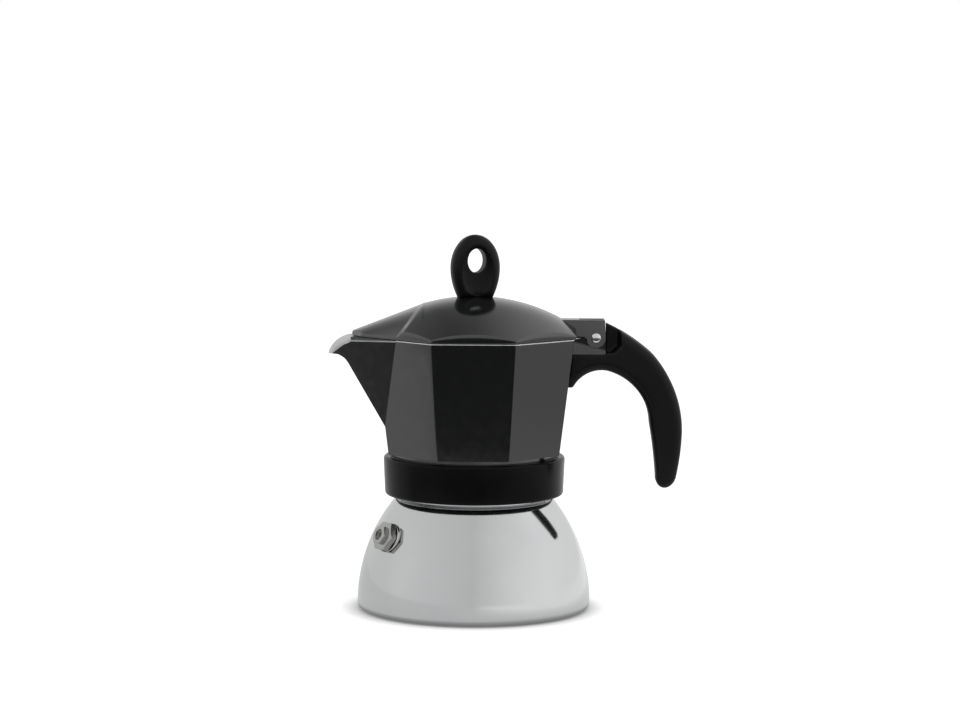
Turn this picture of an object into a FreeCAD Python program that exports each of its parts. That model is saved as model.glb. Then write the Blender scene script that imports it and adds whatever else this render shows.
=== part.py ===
import FreeCAD, Part
import math
import os
import re
import Sketcher

# A stove-top moka pot, in millimetres. The origin is the middle of the base, on the table,
# with +Z up, the handle towards +X and the spout towards -X.

SIZES = {
    # boiler: a wide base drawn in along one arc to a flat shoulder and a threaded neck
    "base_radius": 51.0,
    "base_round": 3.0,
    "base_rim": 4.0,
    "shoulder_height": 48.7,
    "shell_wall": 1.2,
    "floor_wall": 1.2,
    "disc_thickness": 1.4,
    "neck_radius": 31.6,
    "neck_wall": 3.4,
    "shoulder_ledge": 2.9,
    "neck_height": 13.8,
    "thread_pitch": 4.0,
    "thread_turns": 2.0,
    "thread_depth": 1.2,
    "thread_root": 2.4,
    "thread_crest": 1.0,
    "thread_start": 2.5,
    "thread_clearance": 0.3,
    "fit_clearance": 0.1,
    # safety valve: sits on a flat boss of the wall
    "valve_drop": 14.45,
    "valve_droop": 5.1,
    "valve_azimuth": 214.4,
    "boss_radius": 6.5,
    "boss_proud": 0.4,
    "boss_depth": 3.4,
    "valve_washer_radius": 6.3,
    "valve_washer_thickness": 0.7,
    "valve_hex": 12.0,
    "valve_hex_height": 2.9,
    "valve_shank": 4.2,
    "valve_shank_length": 8.0,
    "valve_bore": 2.9,
    "valve_seat": 1.6,
    "valve_inlet": 1.2,
    "valve_nut_hex": 12.0,
    "valve_nut_height": 3.0,
    "valve_cap_hex": 7.8,
    "valve_cap_height": 2.0,
    "valve_cap_plug": 1.3,
    "valve_cap_mouth": 2.3,
    "valve_cap_mouth_depth": 1.4,
    "plunger_stem": 1.15,
    "plunger_head": 2.6,
    "plunger_head_height": 1.6,
    "plunger_inset": 1.1,
    "plunger_clearance": 0.08,
    "spring_wire": 0.35,
    "spring_turns": 5.0,
    "spring_gap": 0.1,
    # coffee funnel and its sieve
    "funnel_clearance": 0.3,
    "funnel_wall": 0.9,
    "funnel_rim_inset": 0.8,
    "funnel_flange": 1.0,
    "funnel_depth": 20.0,
    "funnel_ledge": 3.2,
    "funnel_cone": 8.5,
    "stem_radius": 4.6,
    "stem_foot": 4.0,
    "sieve_thickness": 0.8,
    "sieve_hole": 0.9,
    "sieve_pitch": 5.2,
    # gasket and filter plate
    "gasket_width": 6.0,
    "gasket_thickness": 3.2,
    "plate_thickness": 0.8,
    "plate_lap": 1.6,
    "plate_hole": 0.7,
    "plate_pitch": 4.4,
    # collector: an eight-sided cup on a threaded skirt
    "seat_step": 2.45,
    "facet_height": 50.7,
    "facet_round": 0.8,
    "collector_wall": 2.4,
    "collector_floor": 4.0,
    "floor_cone": 6.5,
    "floor_cone_radius": 26.0,
    "skirt_wall": 2.9,
    "foot_step": 1.0,
    "rim_flare": 12.3,
    "spout_rise": 8.1,
    "spout_half_width": 28.0,
    "spout_length": 18.5,
    "lip_setback": 7.65,
    "lip_overhang": 2.25,
    "lip_drop": 7.5,
    "lip_round": 10.0,
    "lip_wall": 1.3,
    "beak_length": 9.65,
    "beak_bend_setback": 7.25,
    "beak_throat_setback": 4.85,
    "beak_curl_setback": 2.05,
    "beak_keel_rise": 33.25,
    "beak_bend_rise": 37.75,
    "beak_throat_rise": 40.55,
    "beak_curl_rise": 42.2,
    "beak_tip_rise": 42.75,
    "beak_bend_half_width": 8.2,
    "beak_throat_half_width": 6.5,
    "beak_curl_half_width": 4.75,
    "beak_tip_half_width": 2.4,
    # riser in the collector
    "column_radius": 5.4,
    "column_bore": 3.4,
    "column_top_radius": 4.8,
    "column_flange": 7.4,
    "column_flange_height": 1.6,
    "column_height": 31.0,
    "column_cap": 3.0,
    "column_slot": 3.2,
    "column_slot_height": 5.0,
    # black sleeve round the skirt
    "collar_lift": 1.75,
    "collar_top_gap": 1.65,
    "collar_wall": 3.0,
    "collar_flare": 0.75,
    "collar_round": 1.4,
    # lid hinge
    "pin_standoff": 9.65,
    "pin_drop": 0.3,
    "pin_radius": 1.5,
    "pin_head": 2.5,
    "pin_head_height": 0.8,
    "pin_clearance": 0.05,
    "ear_radius": 4.2,
    "ear_half_width": 5.3,
    "ear_thickness": 2.6,
    "ear_clearance": 0.35,
    "knuckle_radius": 3.5,
    "arm_rise": 7.9,
    "arm_slot": 7.2,
    "arm_root": 8.0,
    "lug_drop": 7.1,
    "lug_top_drop": 1.3,
    "lug_end_drop": 5.6,
    "lug_reach": 4.2,
    # lid
    "lid_overhang": 0.95,
    "lid_edge": 3.65,
    "lid_gap": 0.4,
    "lid_curve": 80.0,
    "lid_wall": 1.8,
    "nose_setback": 8.15,
    "nose_root": 22.0,
    "nose_end_rise": 1.7,
    "nose_eave": 1.1,
    "nose_ridge_half_width": 3.0,
    "nose_ridge_round": 12.0,
    "crease_slant": 37.6,
    # knob
    "knob_height": 27.5,
    "knob_half_width": 10.7,
    "knob_waist": 13.1,
    "knob_foot": 7.4,
    "knob_sink": 0.6,
    "knob_crown": 13.2,
    "knob_flank": 40.0,
    "knob_thickness": 9.6,
    "knob_round": 3.6,
    "knob_turn": 15.0,
    "knob_hole_rise": 16.3,
    "knob_hole_half_width": 4.1,
    "knob_hole_half_height": 5.3,
    "knob_dish": 1.4,
    "knob_dish_half_width": 6.8,
    "knob_dish_half_height": 11.0,
    "knob_dish_drop": 4.4,
    "knob_screw_radius": 2.0,
    "knob_screw_grip": 5.0,
    "knob_screw_head": 3.6,
    "knob_screw_head_height": 2.2,
    "knob_washer_radius": 4.8,
    "knob_washer_thickness": 0.8,
    # handle
    "handle_nose": 4.3,
    "handle_nose_rise": 6.5,
    "handle_bend_reach": 24.6,
    "handle_bend_drop": 6.8,
    "handle_top_arc": 80.0,
    "handle_back_reach": 37.9,
    "handle_back_drop": 40.6,
    "handle_back_arc": 50.0,
    "handle_heel_reach": 35.6,
    "handle_heel_drop": 60.5,
    "handle_heel_arc": 110.0,
    "handle_tip_reach": 30.6,
    "handle_tip_drop": 65.9,
    "handle_tip_arc": 6.5,
    "handle_palm_reach": 26.5,
    "handle_palm_drop": 61.0,
    "handle_palm_arc": 4.6,
    "handle_grip_reach": 23.6,
    "handle_grip_drop": 37.3,
    "handle_grip_arc": 200.0,
    "handle_arch_reach": 4.6,
    "handle_arch_drop": 14.2,
    "handle_arch_arc": 24.7,
    "handle_foot_reach": 9.8,
    "handle_foot_drop": 21.6,
    "handle_foot_arc": 14.0,
    "handle_width": 17.0,
    "handle_top_width": 13.0,
    "handle_tip_width": 11.5,
    "handle_round": 3.6,
    "relief_reach": 9.6,
    "relief_drop": 6.2,
    "relief_corner": 3.0,
    "relief_slope": 4.0,
    "handle_screw_radius": 1.5,
    "handle_screw_offset": 4.6,
    "handle_screw_head": 3.0,
    "handle_screw_head_height": 2.0,
    "handle_screw_grip": 5.5,
    "handle_screw_bite": 4.2,
}

# Sizes that follow from others, because the pieces fit in, seat on or line up with each other
DOME = "(((base_radius - shoulder_radius)^2 + (shoulder_height - base_round)^2)"
DOME += " / (2 * (base_radius - shoulder_radius)))"
FOLLOWING = {
    "disc_radius": "base_radius - base_round - base_rim",
    "shoulder_radius": "neck_radius + shoulder_ledge",
    "neck_bore": "neck_radius - neck_wall",
    "valve_height": "shoulder_height - valve_drop",
    "valve_tilt": f"asin((valve_height - base_round) / {DOME}) / 1 deg - valve_droop",
    "funnel_rim": "neck_radius - funnel_rim_inset",
    "gasket_radius": "neck_radius",
    "gasket_bore": "neck_radius - gasket_width",
    "skirt_radius": "neck_radius + thread_depth + thread_clearance + skirt_wall",
    "collar_bottom_radius": "skirt_radius + collar_wall",
    "collar_top_radius": "skirt_radius + collar_wall + collar_flare",
    "base_flats": "2 * (skirt_radius + foot_step)",
    "rim_flats": "base_flats + rim_flare",
    "spout_reach": "rim_flats / 2 + spout_length",
    "lip_start": "spout_reach - lip_setback",
    "lip_reach": "spout_reach + lip_overhang",
    "beak_root": "spout_reach - beak_length",
    "beak_bend": "spout_reach - beak_bend_setback",
    "beak_throat": "spout_reach - beak_throat_setback",
    "beak_curl": "spout_reach - beak_curl_setback",
    "pin_reach": "rim_flats / 2 + pin_standoff",
    "lid_flats": "rim_flats + 2 * lid_overhang",
    "lid_rise": "lid_edge + lid_curve - sqrt(lid_curve^2 - lid_flats^2 / 4)",
    "nose_reach": "spout_reach - nose_setback",
    "crease_reach": "rim_flats / 2 * 1.41421356 - spout_half_width",
}

document = FreeCAD.newDocument("moka_pot")
sheet = document.addObject("Spreadsheet::Sheet", "Sizes")
for row, (alias, value) in enumerate(SIZES.items(), 1):
    sheet.set(f"A{row}", alias)
    sheet.set(f"B{row}", str(value))
    sheet.setAlias(f"B{row}", alias)
document.recompute()

# Heights that several pieces share, worked out from the sizes
FLOOR_TOP = "(disc_thickness + floor_wall)"
NECK_TOP = "(shoulder_height + neck_height)"
SEAT = f"({NECK_TOP} + funnel_flange + gasket_thickness)"
FACET_FOOT = f"({SEAT} + seat_step)"
RIM = f"({FACET_FOOT} + facet_height)"
PIN_Z = f"({RIM} - pin_drop)"
LID_FOOT = f"({RIM} + lid_gap)"
APEX = f"({LID_FOOT} + lid_rise)"
EAR_INNER = "(ear_half_width - ear_thickness)"
KNUCKLE_HALF = f"({EAR_INNER} - ear_clearance)"
DIAGONAL = 1.41421356
HALF_CORNER = 0.41421356
CORNER_REACH = 1.08239220
TURNED = {
    "XY_Plane": FreeCAD.Rotation(),
    "XZ_Plane": FreeCAD.Rotation(FreeCAD.Vector(1, 0, 0), 90),
    "YZ_Plane": FreeCAD.Rotation(FreeCAD.Vector(1, 1, 1), 120),
}


def cell(word):
    """One word of a formula: a size's cell, what a following size is worked out from, or itself."""
    if word in SIZES:
        return "Sizes." + word
    return f"({bound(FOLLOWING[word])})" if word in FOLLOWING else word


def bound(formula):
    """The formula with each size's name pointing at its cell."""
    return re.sub(r"[a-z][a-z_]*", lambda word: cell(word[0]), str(formula))


def number(formula):
    """What the formula comes to with the sizes as they stand."""
    return float(sheet.evalExpression(bound(formula)))


def flats(height):
    """The collector's width across its facets at a height above their lower edge."""
    return f"(base_flats + (rim_flats - base_flats) * ({height}) / facet_height)"


def tie(piece, **formulas):
    """Bind properties of a piece to formulas of the sizes; at__x stands for Placement.Base.x."""
    for name, formula in formulas.items():
        piece.setExpression(name.replace("at__", "Placement.Base."), bound(formula))
    return piece


def arc_between(start, end, radius, turn):
    """The arc from start to end that bends left (turn 1) or right (turn -1)."""
    chord = end - start
    side = FreeCAD.Vector(-chord.y, chord.x, 0).normalize() * turn
    centre = (start + end) * 0.5 + side * math.sqrt(max(radius**2 - chord.Length**2 / 4, 0))
    first, last = (start, end) if turn > 0 else (end, start)
    angles = [math.atan2(point.y - centre.y, point.x - centre.x) for point in (first, last)]
    return Part.ArcOfCircle(Part.Circle(centre, FreeCAD.Vector(0, 0, 1), radius), *angles)


def outline(owner, name, corners, plane="XZ_Plane", **place):
    """A closed sketch through corners (across, up). A corner may add the radius and the turn of
    an arc that leads from it to the next one. The sketch lies in its body, or free if it has none."""
    if owner:
        sketch = owner.newObject("Sketcher::SketchObject", name)
        support = next(part for part in owner.Origin.OriginFeatures if part.Role == plane)
        sketch.AttachmentSupport = [(support, "")]
        sketch.MapMode = "FlatFace"
    else:
        sketch = document.addObject("Sketcher::SketchObject", name)
        sketch.Placement = FreeCAD.Placement(FreeCAD.Vector(), TURNED[plane])
    points = [FreeCAD.Vector(number(corner[0]), number(corner[1]), 0) for corner in corners]
    starts = []
    ends = []
    radii = []
    for index, corner in enumerate(corners):
        here, there = points[index], points[(index + 1) % len(points)]
        backwards = len(corner) > 2 and corner[3] < 0
        if len(corner) > 2:
            sketch.addGeometry(arc_between(here, there, number(corner[2]), corner[3]))
            radii.append((index, corner[2]))
        else:
            sketch.addGeometry(Part.LineSegment(here, there))
        starts.append((index, 2 if backwards else 1))
        ends.append((index, 1 if backwards else 2))
    rules = []
    formulas = []
    for index in range(len(corners)):
        rules.append(Sketcher.Constraint("Coincident", *ends[index - 1], *starts[index]))
        formulas.append(None)
    for index, corner in enumerate(corners):
        for kind, formula in (("DistanceX", corner[0]), ("DistanceY", corner[1])):
            rules.append(Sketcher.Constraint(kind, -1, 1, *starts[index], number(formula)))
            formulas.append(formula)
    for index, radius in radii:
        rules.append(Sketcher.Constraint("Radius", index, number(radius)))
        formulas.append(radius)
    sketch.addConstraint(rules)
    for index, formula in enumerate(formulas):
        if formula is not None:
            sketch.setExpression(f"Constraints[{index}]", bound(formula))
    return tie(sketch, **place)


def circle(owner, name, across, up, radius, plane="XZ_Plane"):
    """A sketched circle about the point (across, up) of one of its body's planes."""
    sketch = owner.newObject("Sketcher::SketchObject", name)
    support = next(part for part in owner.Origin.OriginFeatures if part.Role == plane)
    sketch.AttachmentSupport = [(support, "")]
    sketch.MapMode = "FlatFace"
    centre = FreeCAD.Vector(number(across), number(up), 0)
    sketch.addGeometry(Part.Circle(centre, FreeCAD.Vector(0, 0, 1), number(radius)))
    sketch.addConstraint([
        Sketcher.Constraint("DistanceX", -1, 1, 0, 3, number(across)),
        Sketcher.Constraint("DistanceY", -1, 1, 0, 3, number(up)),
        Sketcher.Constraint("Radius", 0, number(radius)),
    ])
    for index, formula in enumerate((across, up, radius)):
        sketch.setExpression(f"Constraints[{index}]", bound(formula))
    return sketch


def body(label):
    return document.addObject("PartDesign::Body", label)


def turned(label, corners):
    """A piece turned about the vertical axis."""
    piece = body(label)
    profile = outline(piece, label + "_profile", corners)
    turn = piece.newObject("PartDesign::Revolution", label + "_turned")
    turn.Profile = profile
    turn.ReferenceAxis = (profile, ["V_Axis"])
    turn.Angle = 360
    return piece


def padded(label, corners, width, plane="XZ_Plane"):
    """A plate of the outline's shape, half of its width to each side of the plane."""
    piece = body(label)
    profile = outline(piece, label + "_profile", corners, plane)
    pad = piece.newObject("PartDesign::Pad", label + "_pad")
    pad.Profile = profile
    pad.Midplane = True
    tie(pad, Length=width)
    return piece


def coiled(piece, section, pitch, turns):
    """The section wound right-handed about the vertical axis of its body."""
    helix = piece.newObject("PartDesign::AdditiveHelix", section.Label + "_helix")
    helix.Profile = section
    helix.ReferenceAxis = (section, ["V_Axis"])
    helix.Mode = 1
    tie(helix, Pitch=pitch, Turns=turns)
    return piece


def shape(kind, name, rotation=None, **formulas):
    piece = document.addObject("Part::" + kind, name)
    if rotation:
        piece.Placement = FreeCAD.Placement(FreeCAD.Vector(), rotation)
    return tie(piece, **formulas)


def loft(name, sections, ruled=True):
    piece = document.addObject("Part::Loft", name)
    piece.Sections = sections
    piece.Solid = True
    piece.Ruled = ruled
    return piece


def cut(label, base, *tools):
    """The base with each tool's space taken out of it, one after the other."""
    for index, tool in enumerate(tools, 1):
        last = index == len(tools)
        piece = document.addObject("Part::Cut", label if last else f"{label}_cut_{index}")
        piece.Base = base
        piece.Tool = tool
        base = piece
    return base


def joined(label, *pieces):
    piece = document.addObject("Part::MultiFuse", label)
    piece.Shapes = list(pieces)
    return piece


def shared(label, *pieces):
    piece = document.addObject("Part::MultiCommon", label)
    piece.Shapes = list(pieces)
    return piece


def hexagon(label, across, height, **place):
    """A six-sided prism standing on its own frame."""
    prism = shape("Prism", label, FreeCAD.Rotation(FreeCAD.Vector(0, 0, 1), 30),
                  Circumradius=f"{across} / 2 / cos(30)", Height=height, **place)
    prism.Polygon = 6
    return prism


def octagon_tower(label, low, low_flats, high, high_flats):
    """An eight-sided tower with a facet towards each of -Y, +X, +Y and -X."""
    sections = []
    for end, level, across in (("foot", low, low_flats), ("top", high, high_flats)):
        ring = shape("RegularPolygon", f"{label}_{end}", FreeCAD.Rotation(FreeCAD.Vector(0, 0, 1), 22.5),
                     Circumradius=f"({across}) / 2 * {CORNER_REACH}", at__z=level)
        ring.Polygon = 8
        sections.append(ring)
    return loft(label, sections)


def perforated(piece, name, hole, pitch, reach):
    """Rings of holes, six more in each ring, as far out as they keep clear of the reach."""
    rings = int((number(reach) - number(hole)) / number(pitch))
    for ring in range(1, rings + 1):
        sketch = circle(piece, f"{name}_{ring}", f"{pitch} * {ring}", "0", hole, "XY_Plane")
        pocket = piece.newObject("PartDesign::Pocket", f"{name}_hole_{ring}")
        pocket.Profile = sketch
        pocket.Type = 1
        pocket.Midplane = True
        pattern = piece.newObject("PartDesign::PolarPattern", f"{name}_ring_{ring}")
        pattern.Originals = [pocket]
        pattern.Axis = (sketch, ["N_Axis"])
        pattern.Angle = 360
        pattern.Occurrences = 6 * ring
        piece.Tip = pattern
    return piece


def disc(label, radius, thickness):
    """A round plate whose middle plane is its body's own XY plane."""
    half = f"{thickness} / 2"
    return turned(label, [("0", f"-{half}"), (radius, f"-{half}"), (radius, half), ("0", half)])


# Boiler shell: drawn steel, with the thread on its neck and a flat boss for the valve
INNER_SHOULDER = "(shoulder_height - shell_wall)"
INNER_SHOULDER_RADIUS = f"(base_radius - {DOME} + sqrt(({DOME} - shell_wall)^2"
INNER_SHOULDER_RADIUS += f" - ({INNER_SHOULDER} - base_round)^2))"
drawn_shell = turned("drawn_shell", [
    ("0", "disc_thickness"),
    ("disc_radius + fit_clearance", "disc_thickness"),
    ("disc_radius + fit_clearance", "0"),
    ("base_radius - base_round", "0", "base_round", 1),
    ("base_radius", "base_round", DOME, 1),
    ("shoulder_radius", "shoulder_height"),
    ("neck_radius", "shoulder_height"),
    ("neck_radius", NECK_TOP),
    ("neck_bore", NECK_TOP),
    ("neck_bore", INNER_SHOULDER),
    (INNER_SHOULDER_RADIUS, INNER_SHOULDER, f"{DOME} - shell_wall", -1),
    ("base_radius - shell_wall", "base_round"),
    ("base_radius - base_round", FLOOR_TOP),
    ("0", FLOOR_TOP),
])
THREAD_LEVEL = "(shoulder_height + thread_start)"
thread_ridge = body("thread_ridge")
coiled(thread_ridge, outline(thread_ridge, "ridge_section", [
    ("neck_radius - thread_clearance", f"{THREAD_LEVEL} - thread_root / 2"),
    ("neck_radius + thread_depth", f"{THREAD_LEVEL} - thread_crest / 2"),
    ("neck_radius + thread_depth", f"{THREAD_LEVEL} + thread_crest / 2"),
    ("neck_radius - thread_clearance", f"{THREAD_LEVEL} + thread_root / 2"),
]), "thread_pitch", "thread_turns")

# The valve's frame stands on the middle of the boss, its Z axis pointing out of the boiler
WALL_REACH = f"(base_radius - {DOME} + sqrt({DOME}^2 - (valve_height - base_round)^2))"
VALVE_RADIUS = f"({WALL_REACH} + boss_proud * cos(valve_tilt))"
VALVE_PLACE = {
    "at__x": f"{VALVE_RADIUS} * cos(valve_azimuth)",
    "at__y": f"{VALVE_RADIUS} * sin(valve_azimuth)",
    "at__z": "valve_height + boss_proud * sin(valve_tilt)",
}
VALVE_TURN = FreeCAD.Rotation(number("valve_azimuth"), 90 - number("valve_tilt"), 0)


def on_valve(piece):
    """Stand a piece made about the origin on the valve's boss."""
    piece.Placement = FreeCAD.Placement(FreeCAD.Vector(), VALVE_TURN)
    return tie(piece, **VALVE_PLACE)


valve_boss = on_valve(turned("valve_boss", [
    ("0", "-boss_depth"), ("boss_radius", "-boss_depth"), ("boss_radius", "0"), ("0", "0"),
]))
valve_hole = on_valve(turned("valve_hole", [
    ("0", "-2 * boss_depth"),
    ("valve_shank + fit_clearance", "-2 * boss_depth"),
    ("valve_shank + fit_clearance", "boss_depth"),
    ("0", "boss_depth"),
]))
cut("boiler_shell", joined("boiler_blank", drawn_shell, thread_ridge, valve_boss), valve_hole)

# Magnetic disc let into the boiler's underside, flush with the table
tie(disc("induction_disc", "disc_radius", "disc_thickness"), at__z="disc_thickness / 2")

# Safety valve, from the boss outwards: washer, hexagonal body, small hexagonal cap
VALVE_TOP = "(valve_washer_thickness + valve_hex_height)"
VALVE_FOOT = "(-valve_shank_length)"
SEAT_FACE = f"({VALVE_FOOT} + valve_seat)"
CAP_TOP = f"({VALVE_TOP} + valve_cap_height)"
PLUG_FOOT = f"({VALVE_TOP} - valve_cap_plug)"
on_valve(turned("valve_washer", [
    ("valve_shank + fit_clearance", "0"),
    ("valve_washer_radius", "0"),
    ("valve_washer_radius", "valve_washer_thickness"),
    ("valve_shank + fit_clearance", "valve_washer_thickness"),
]))
valve_hex = hexagon("valve_hexagon", "valve_hex", "valve_hex_height", at__z="valve_washer_thickness")
valve_shank = shape("Cylinder", "valve_shank_rod", Radius="valve_shank", at__z=VALVE_FOOT,
                    Height="valve_shank_length + valve_washer_thickness")
valve_bore = shape("Cylinder", "valve_bore_space", Radius="valve_bore", at__z=SEAT_FACE,
                   Height=f"2 * {VALVE_TOP} + valve_shank_length")
valve_inlet = shape("Cylinder", "valve_inlet_space", Radius="valve_inlet", Height="3 * valve_seat",
                    at__z=f"{VALVE_FOOT} - valve_seat")
on_valve(cut("valve_body", joined("valve_blank", valve_hex, valve_shank), valve_bore, valve_inlet))

nut_hex = hexagon("nut_hexagon", "valve_nut_hex", "valve_nut_height",
                  at__z="-boss_depth - valve_nut_height")
nut_hole = shape("Cylinder", "nut_hole", Radius="valve_shank + fit_clearance",
                 Height="4 * valve_nut_height",
                 at__z="-boss_depth - 2 * valve_nut_height")
on_valve(cut("valve_nut", nut_hex, nut_hole))

cap_hex = hexagon("cap_hexagon", "valve_cap_hex", "valve_cap_height", at__z=VALVE_TOP)
cap_plug = shape("Cylinder", "cap_plug", Radius="valve_bore - fit_clearance", at__z=PLUG_FOOT,
                 Height="valve_cap_plug + valve_cap_height / 2")
cap_hole = shape("Cylinder", "cap_hole", Radius="plunger_stem + plunger_clearance",
                 at__z=f"{PLUG_FOOT} - valve_cap_plug", Height="3 * (valve_cap_plug + valve_cap_height)")
cap_mouth = shape("Cylinder", "cap_mouth", Radius="valve_cap_mouth",
                  at__z=f"{CAP_TOP} - valve_cap_mouth_depth", Height="2 * valve_cap_mouth_depth")
on_valve(cut("valve_cap", joined("cap_blank", cap_hex, cap_plug), cap_hole, cap_mouth))

# Plunger: a head on the inlet's seat and a stem that ends in the cap's mouth
HEAD_FOOT = f"({SEAT_FACE} + plunger_clearance)"
HEAD_TOP = f"({HEAD_FOOT} + plunger_head_height)"
on_valve(turned("valve_plunger", [
    ("0", HEAD_FOOT),
    ("plunger_head", HEAD_FOOT),
    ("plunger_head", HEAD_TOP),
    ("plunger_stem", HEAD_TOP),
    ("plunger_stem", f"{CAP_TOP} - plunger_inset"),
    ("0", f"{CAP_TOP} - plunger_inset"),
]))

# Spring round the stem, between the plunger's head and the cap
COIL_FOOT = f"({HEAD_TOP} + spring_gap + spring_wire)"
COIL_TOP = f"({PLUG_FOOT} - spring_gap - spring_wire)"
valve_spring = body("valve_spring")
COIL_RADIUS = "(plunger_stem + valve_bore) / 2"
coil_section = circle(valve_spring, "coil_section", COIL_RADIUS, COIL_FOOT, "spring_wire")
coiled(valve_spring, coil_section, f"({COIL_TOP} - {COIL_FOOT}) / spring_turns", "spring_turns")
on_valve(valve_spring)

# Coffee funnel: its flange rests on the neck, its stem ends just above the boiler's floor
CUP_RADIUS = "(neck_bore - funnel_clearance)"
CUP_INNER = f"({CUP_RADIUS} - funnel_wall)"
CUP_FOOT = f"({NECK_TOP} - funnel_depth)"
CUP_FLOOR = f"({CUP_FOOT} + funnel_wall)"
STEM_BORE = "(stem_radius - funnel_wall)"
STEM_FOOT = f"({FLOOR_TOP} + stem_foot)"
turned("funnel", [
    ("funnel_rim", NECK_TOP),
    ("funnel_rim", f"{NECK_TOP} + funnel_flange"),
    (CUP_INNER, f"{NECK_TOP} + funnel_flange"),
    (CUP_INNER, CUP_FLOOR),
    (f"{CUP_INNER} - funnel_ledge", CUP_FLOOR),
    (STEM_BORE, f"{CUP_FLOOR} - funnel_cone"),
    (STEM_BORE, STEM_FOOT),
    ("stem_radius", STEM_FOOT),
    ("stem_radius", f"{CUP_FOOT} - funnel_cone"),
    (f"{CUP_INNER} - funnel_ledge", CUP_FOOT),
    (CUP_RADIUS, CUP_FOOT),
    (CUP_RADIUS, NECK_TOP),
])
sieve = disc("funnel_sieve", f"{CUP_INNER} - fit_clearance", "sieve_thickness")
perforated(sieve, "sieve", "sieve_hole", "sieve_pitch", f"{CUP_INNER} - funnel_ledge")
tie(sieve, at__z=f"{CUP_FLOOR} + sieve_thickness / 2")

# Gasket with a step inside it, and the filter plate that lies in the step
PLATE_RADIUS = "(gasket_bore + plate_lap)"
GASKET_FOOT = f"({NECK_TOP} + funnel_flange)"
turned("gasket", [
    ("gasket_bore", GASKET_FOOT),
    ("gasket_radius", GASKET_FOOT),
    ("gasket_radius", SEAT),
    (f"{PLATE_RADIUS} + fit_clearance", SEAT),
    (f"{PLATE_RADIUS} + fit_clearance", f"{SEAT} - plate_thickness"),
    ("gasket_bore", f"{SEAT} - plate_thickness"),
])
plate = disc("filter_plate", PLATE_RADIUS, "plate_thickness")
perforated(plate, "plate", "plate_hole", "plate_pitch", "gasket_bore - plate_lap")
tie(plate, at__z=f"{SEAT} - plate_thickness / 2")

# Collector: eight leaning facets, a spout drawn out of the -X one, a skirt and the hinge lug
COLLAR_FOOT = "(shoulder_height + collar_lift)"
SKIRT_FOOT = f"({COLLAR_FOOT} + collar_round / 2)"
WALL_BACK = "(rim_flats / 2 - collector_wall)"
facet_tower = octagon_tower("facet_tower", FACET_FOOT, "base_flats", RIM, "rim_flats")
document.recompute()
leaning_edges = [
    index for index, edge in enumerate(facet_tower.Shape.Edges, 1)
    if abs(edge.Vertexes[0].Z - edge.Vertexes[-1].Z) > number("facet_height") / 2
]
facets = document.addObject("Part::Fillet", "facets")
facets.Base = facet_tower
facets.Edges = [(index, number("facet_round"), number("facet_round")) for index in leaning_edges]


def spout_sections(name, low, low_wall, low_flats, high, reach, half_width, wall):
    """The spout's level outlines: a flat one on the facet, and a pointed one at the rim."""
    low_half = f"({low_flats} / 2 - {low_wall})"
    side = f"({low_half} * {HALF_CORNER} - {low_wall})"
    shoulder = f"((rim_flats / 2 - {wall}) * {DIAGONAL} - {half_width})"
    root = "-base_flats / 4"
    foot = outline(None, name + "_foot", [
        (root, "0"), (f"-{low_half}", f"-{side}"), (f"-{low_half}", "0"), (f"-{low_half}", side),
    ], "XY_Plane", at__z=low)
    top = outline(None, name + "_top", [
        (root, "0"),
        (f"-{shoulder}", f"-({half_width})"),
        (f"-({reach})", "0"),
        (f"-{shoulder}", half_width),
    ], "XY_Plane", at__z=high)
    return [foot, top]


def beak_section(name, reach, keel, half_width):
    """A V across the spout at a distance from the pot's axis, from its keel up to the rim."""
    return outline(None, name, [("0", keel), (half_width, RIM), (f"-({half_width})", RIM)], "YZ_Plane",
                   at__x=f"-({reach})")


spout_outer = loft("spout_outer", spout_sections(
    "spout_outer", f"{FACET_FOOT} + spout_rise", "fit_clearance", flats("spout_rise"), RIM,
    "spout_reach", "spout_half_width", "fit_clearance"))
ROOT_HALF_WIDTH = "(spout_reach - beak_root - fit_clearance)"
beak_outer = loft("beak_outer", [
    beak_section("beak_outer_root", "beak_root", f"{FACET_FOOT} + beak_keel_rise", ROOT_HALF_WIDTH),
    beak_section("beak_outer_bend", "beak_bend", f"{FACET_FOOT} + beak_bend_rise", "beak_bend_half_width"),
    beak_section("beak_outer_throat", "beak_throat", f"{FACET_FOOT} + beak_throat_rise",
                 "beak_throat_half_width"),
    beak_section("beak_outer_curl", "beak_curl", f"{FACET_FOOT} + beak_curl_rise", "beak_curl_half_width"),
    beak_section("beak_outer_tip", "lip_reach", f"{FACET_FOOT} + beak_tip_rise", "beak_tip_half_width"),
])
above_lip = padded("above_lip", [
    ("-lip_start", RIM, "lip_round", 1),
    ("-lip_reach", f"{RIM} - lip_drop"),
    ("-1.2 * lip_reach", f"{RIM} - lip_drop"),
    ("-1.2 * lip_reach", f"{RIM} + lip_drop"),
    ("-lip_start", f"{RIM} + lip_drop"),
], "rim_flats")
skirt = shape("Cylinder", "skirt", Radius="skirt_radius", at__z=SKIRT_FOOT,
              Height=f"{FACET_FOOT} + facet_round - {SKIRT_FOOT}")
ALONG_Y = FreeCAD.Rotation(FreeCAD.Vector(1, 0, 0), 90)


def across_hinge(name, radius, half_length):
    """A round bar on the hinge's axis, as long to each side of the middle."""
    return shape("Cylinder", name, ALONG_Y, Radius=radius, Height=f"2 * ({half_length})",
                 at__x="pin_reach", at__y=half_length, at__z=PIN_Z)


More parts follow.
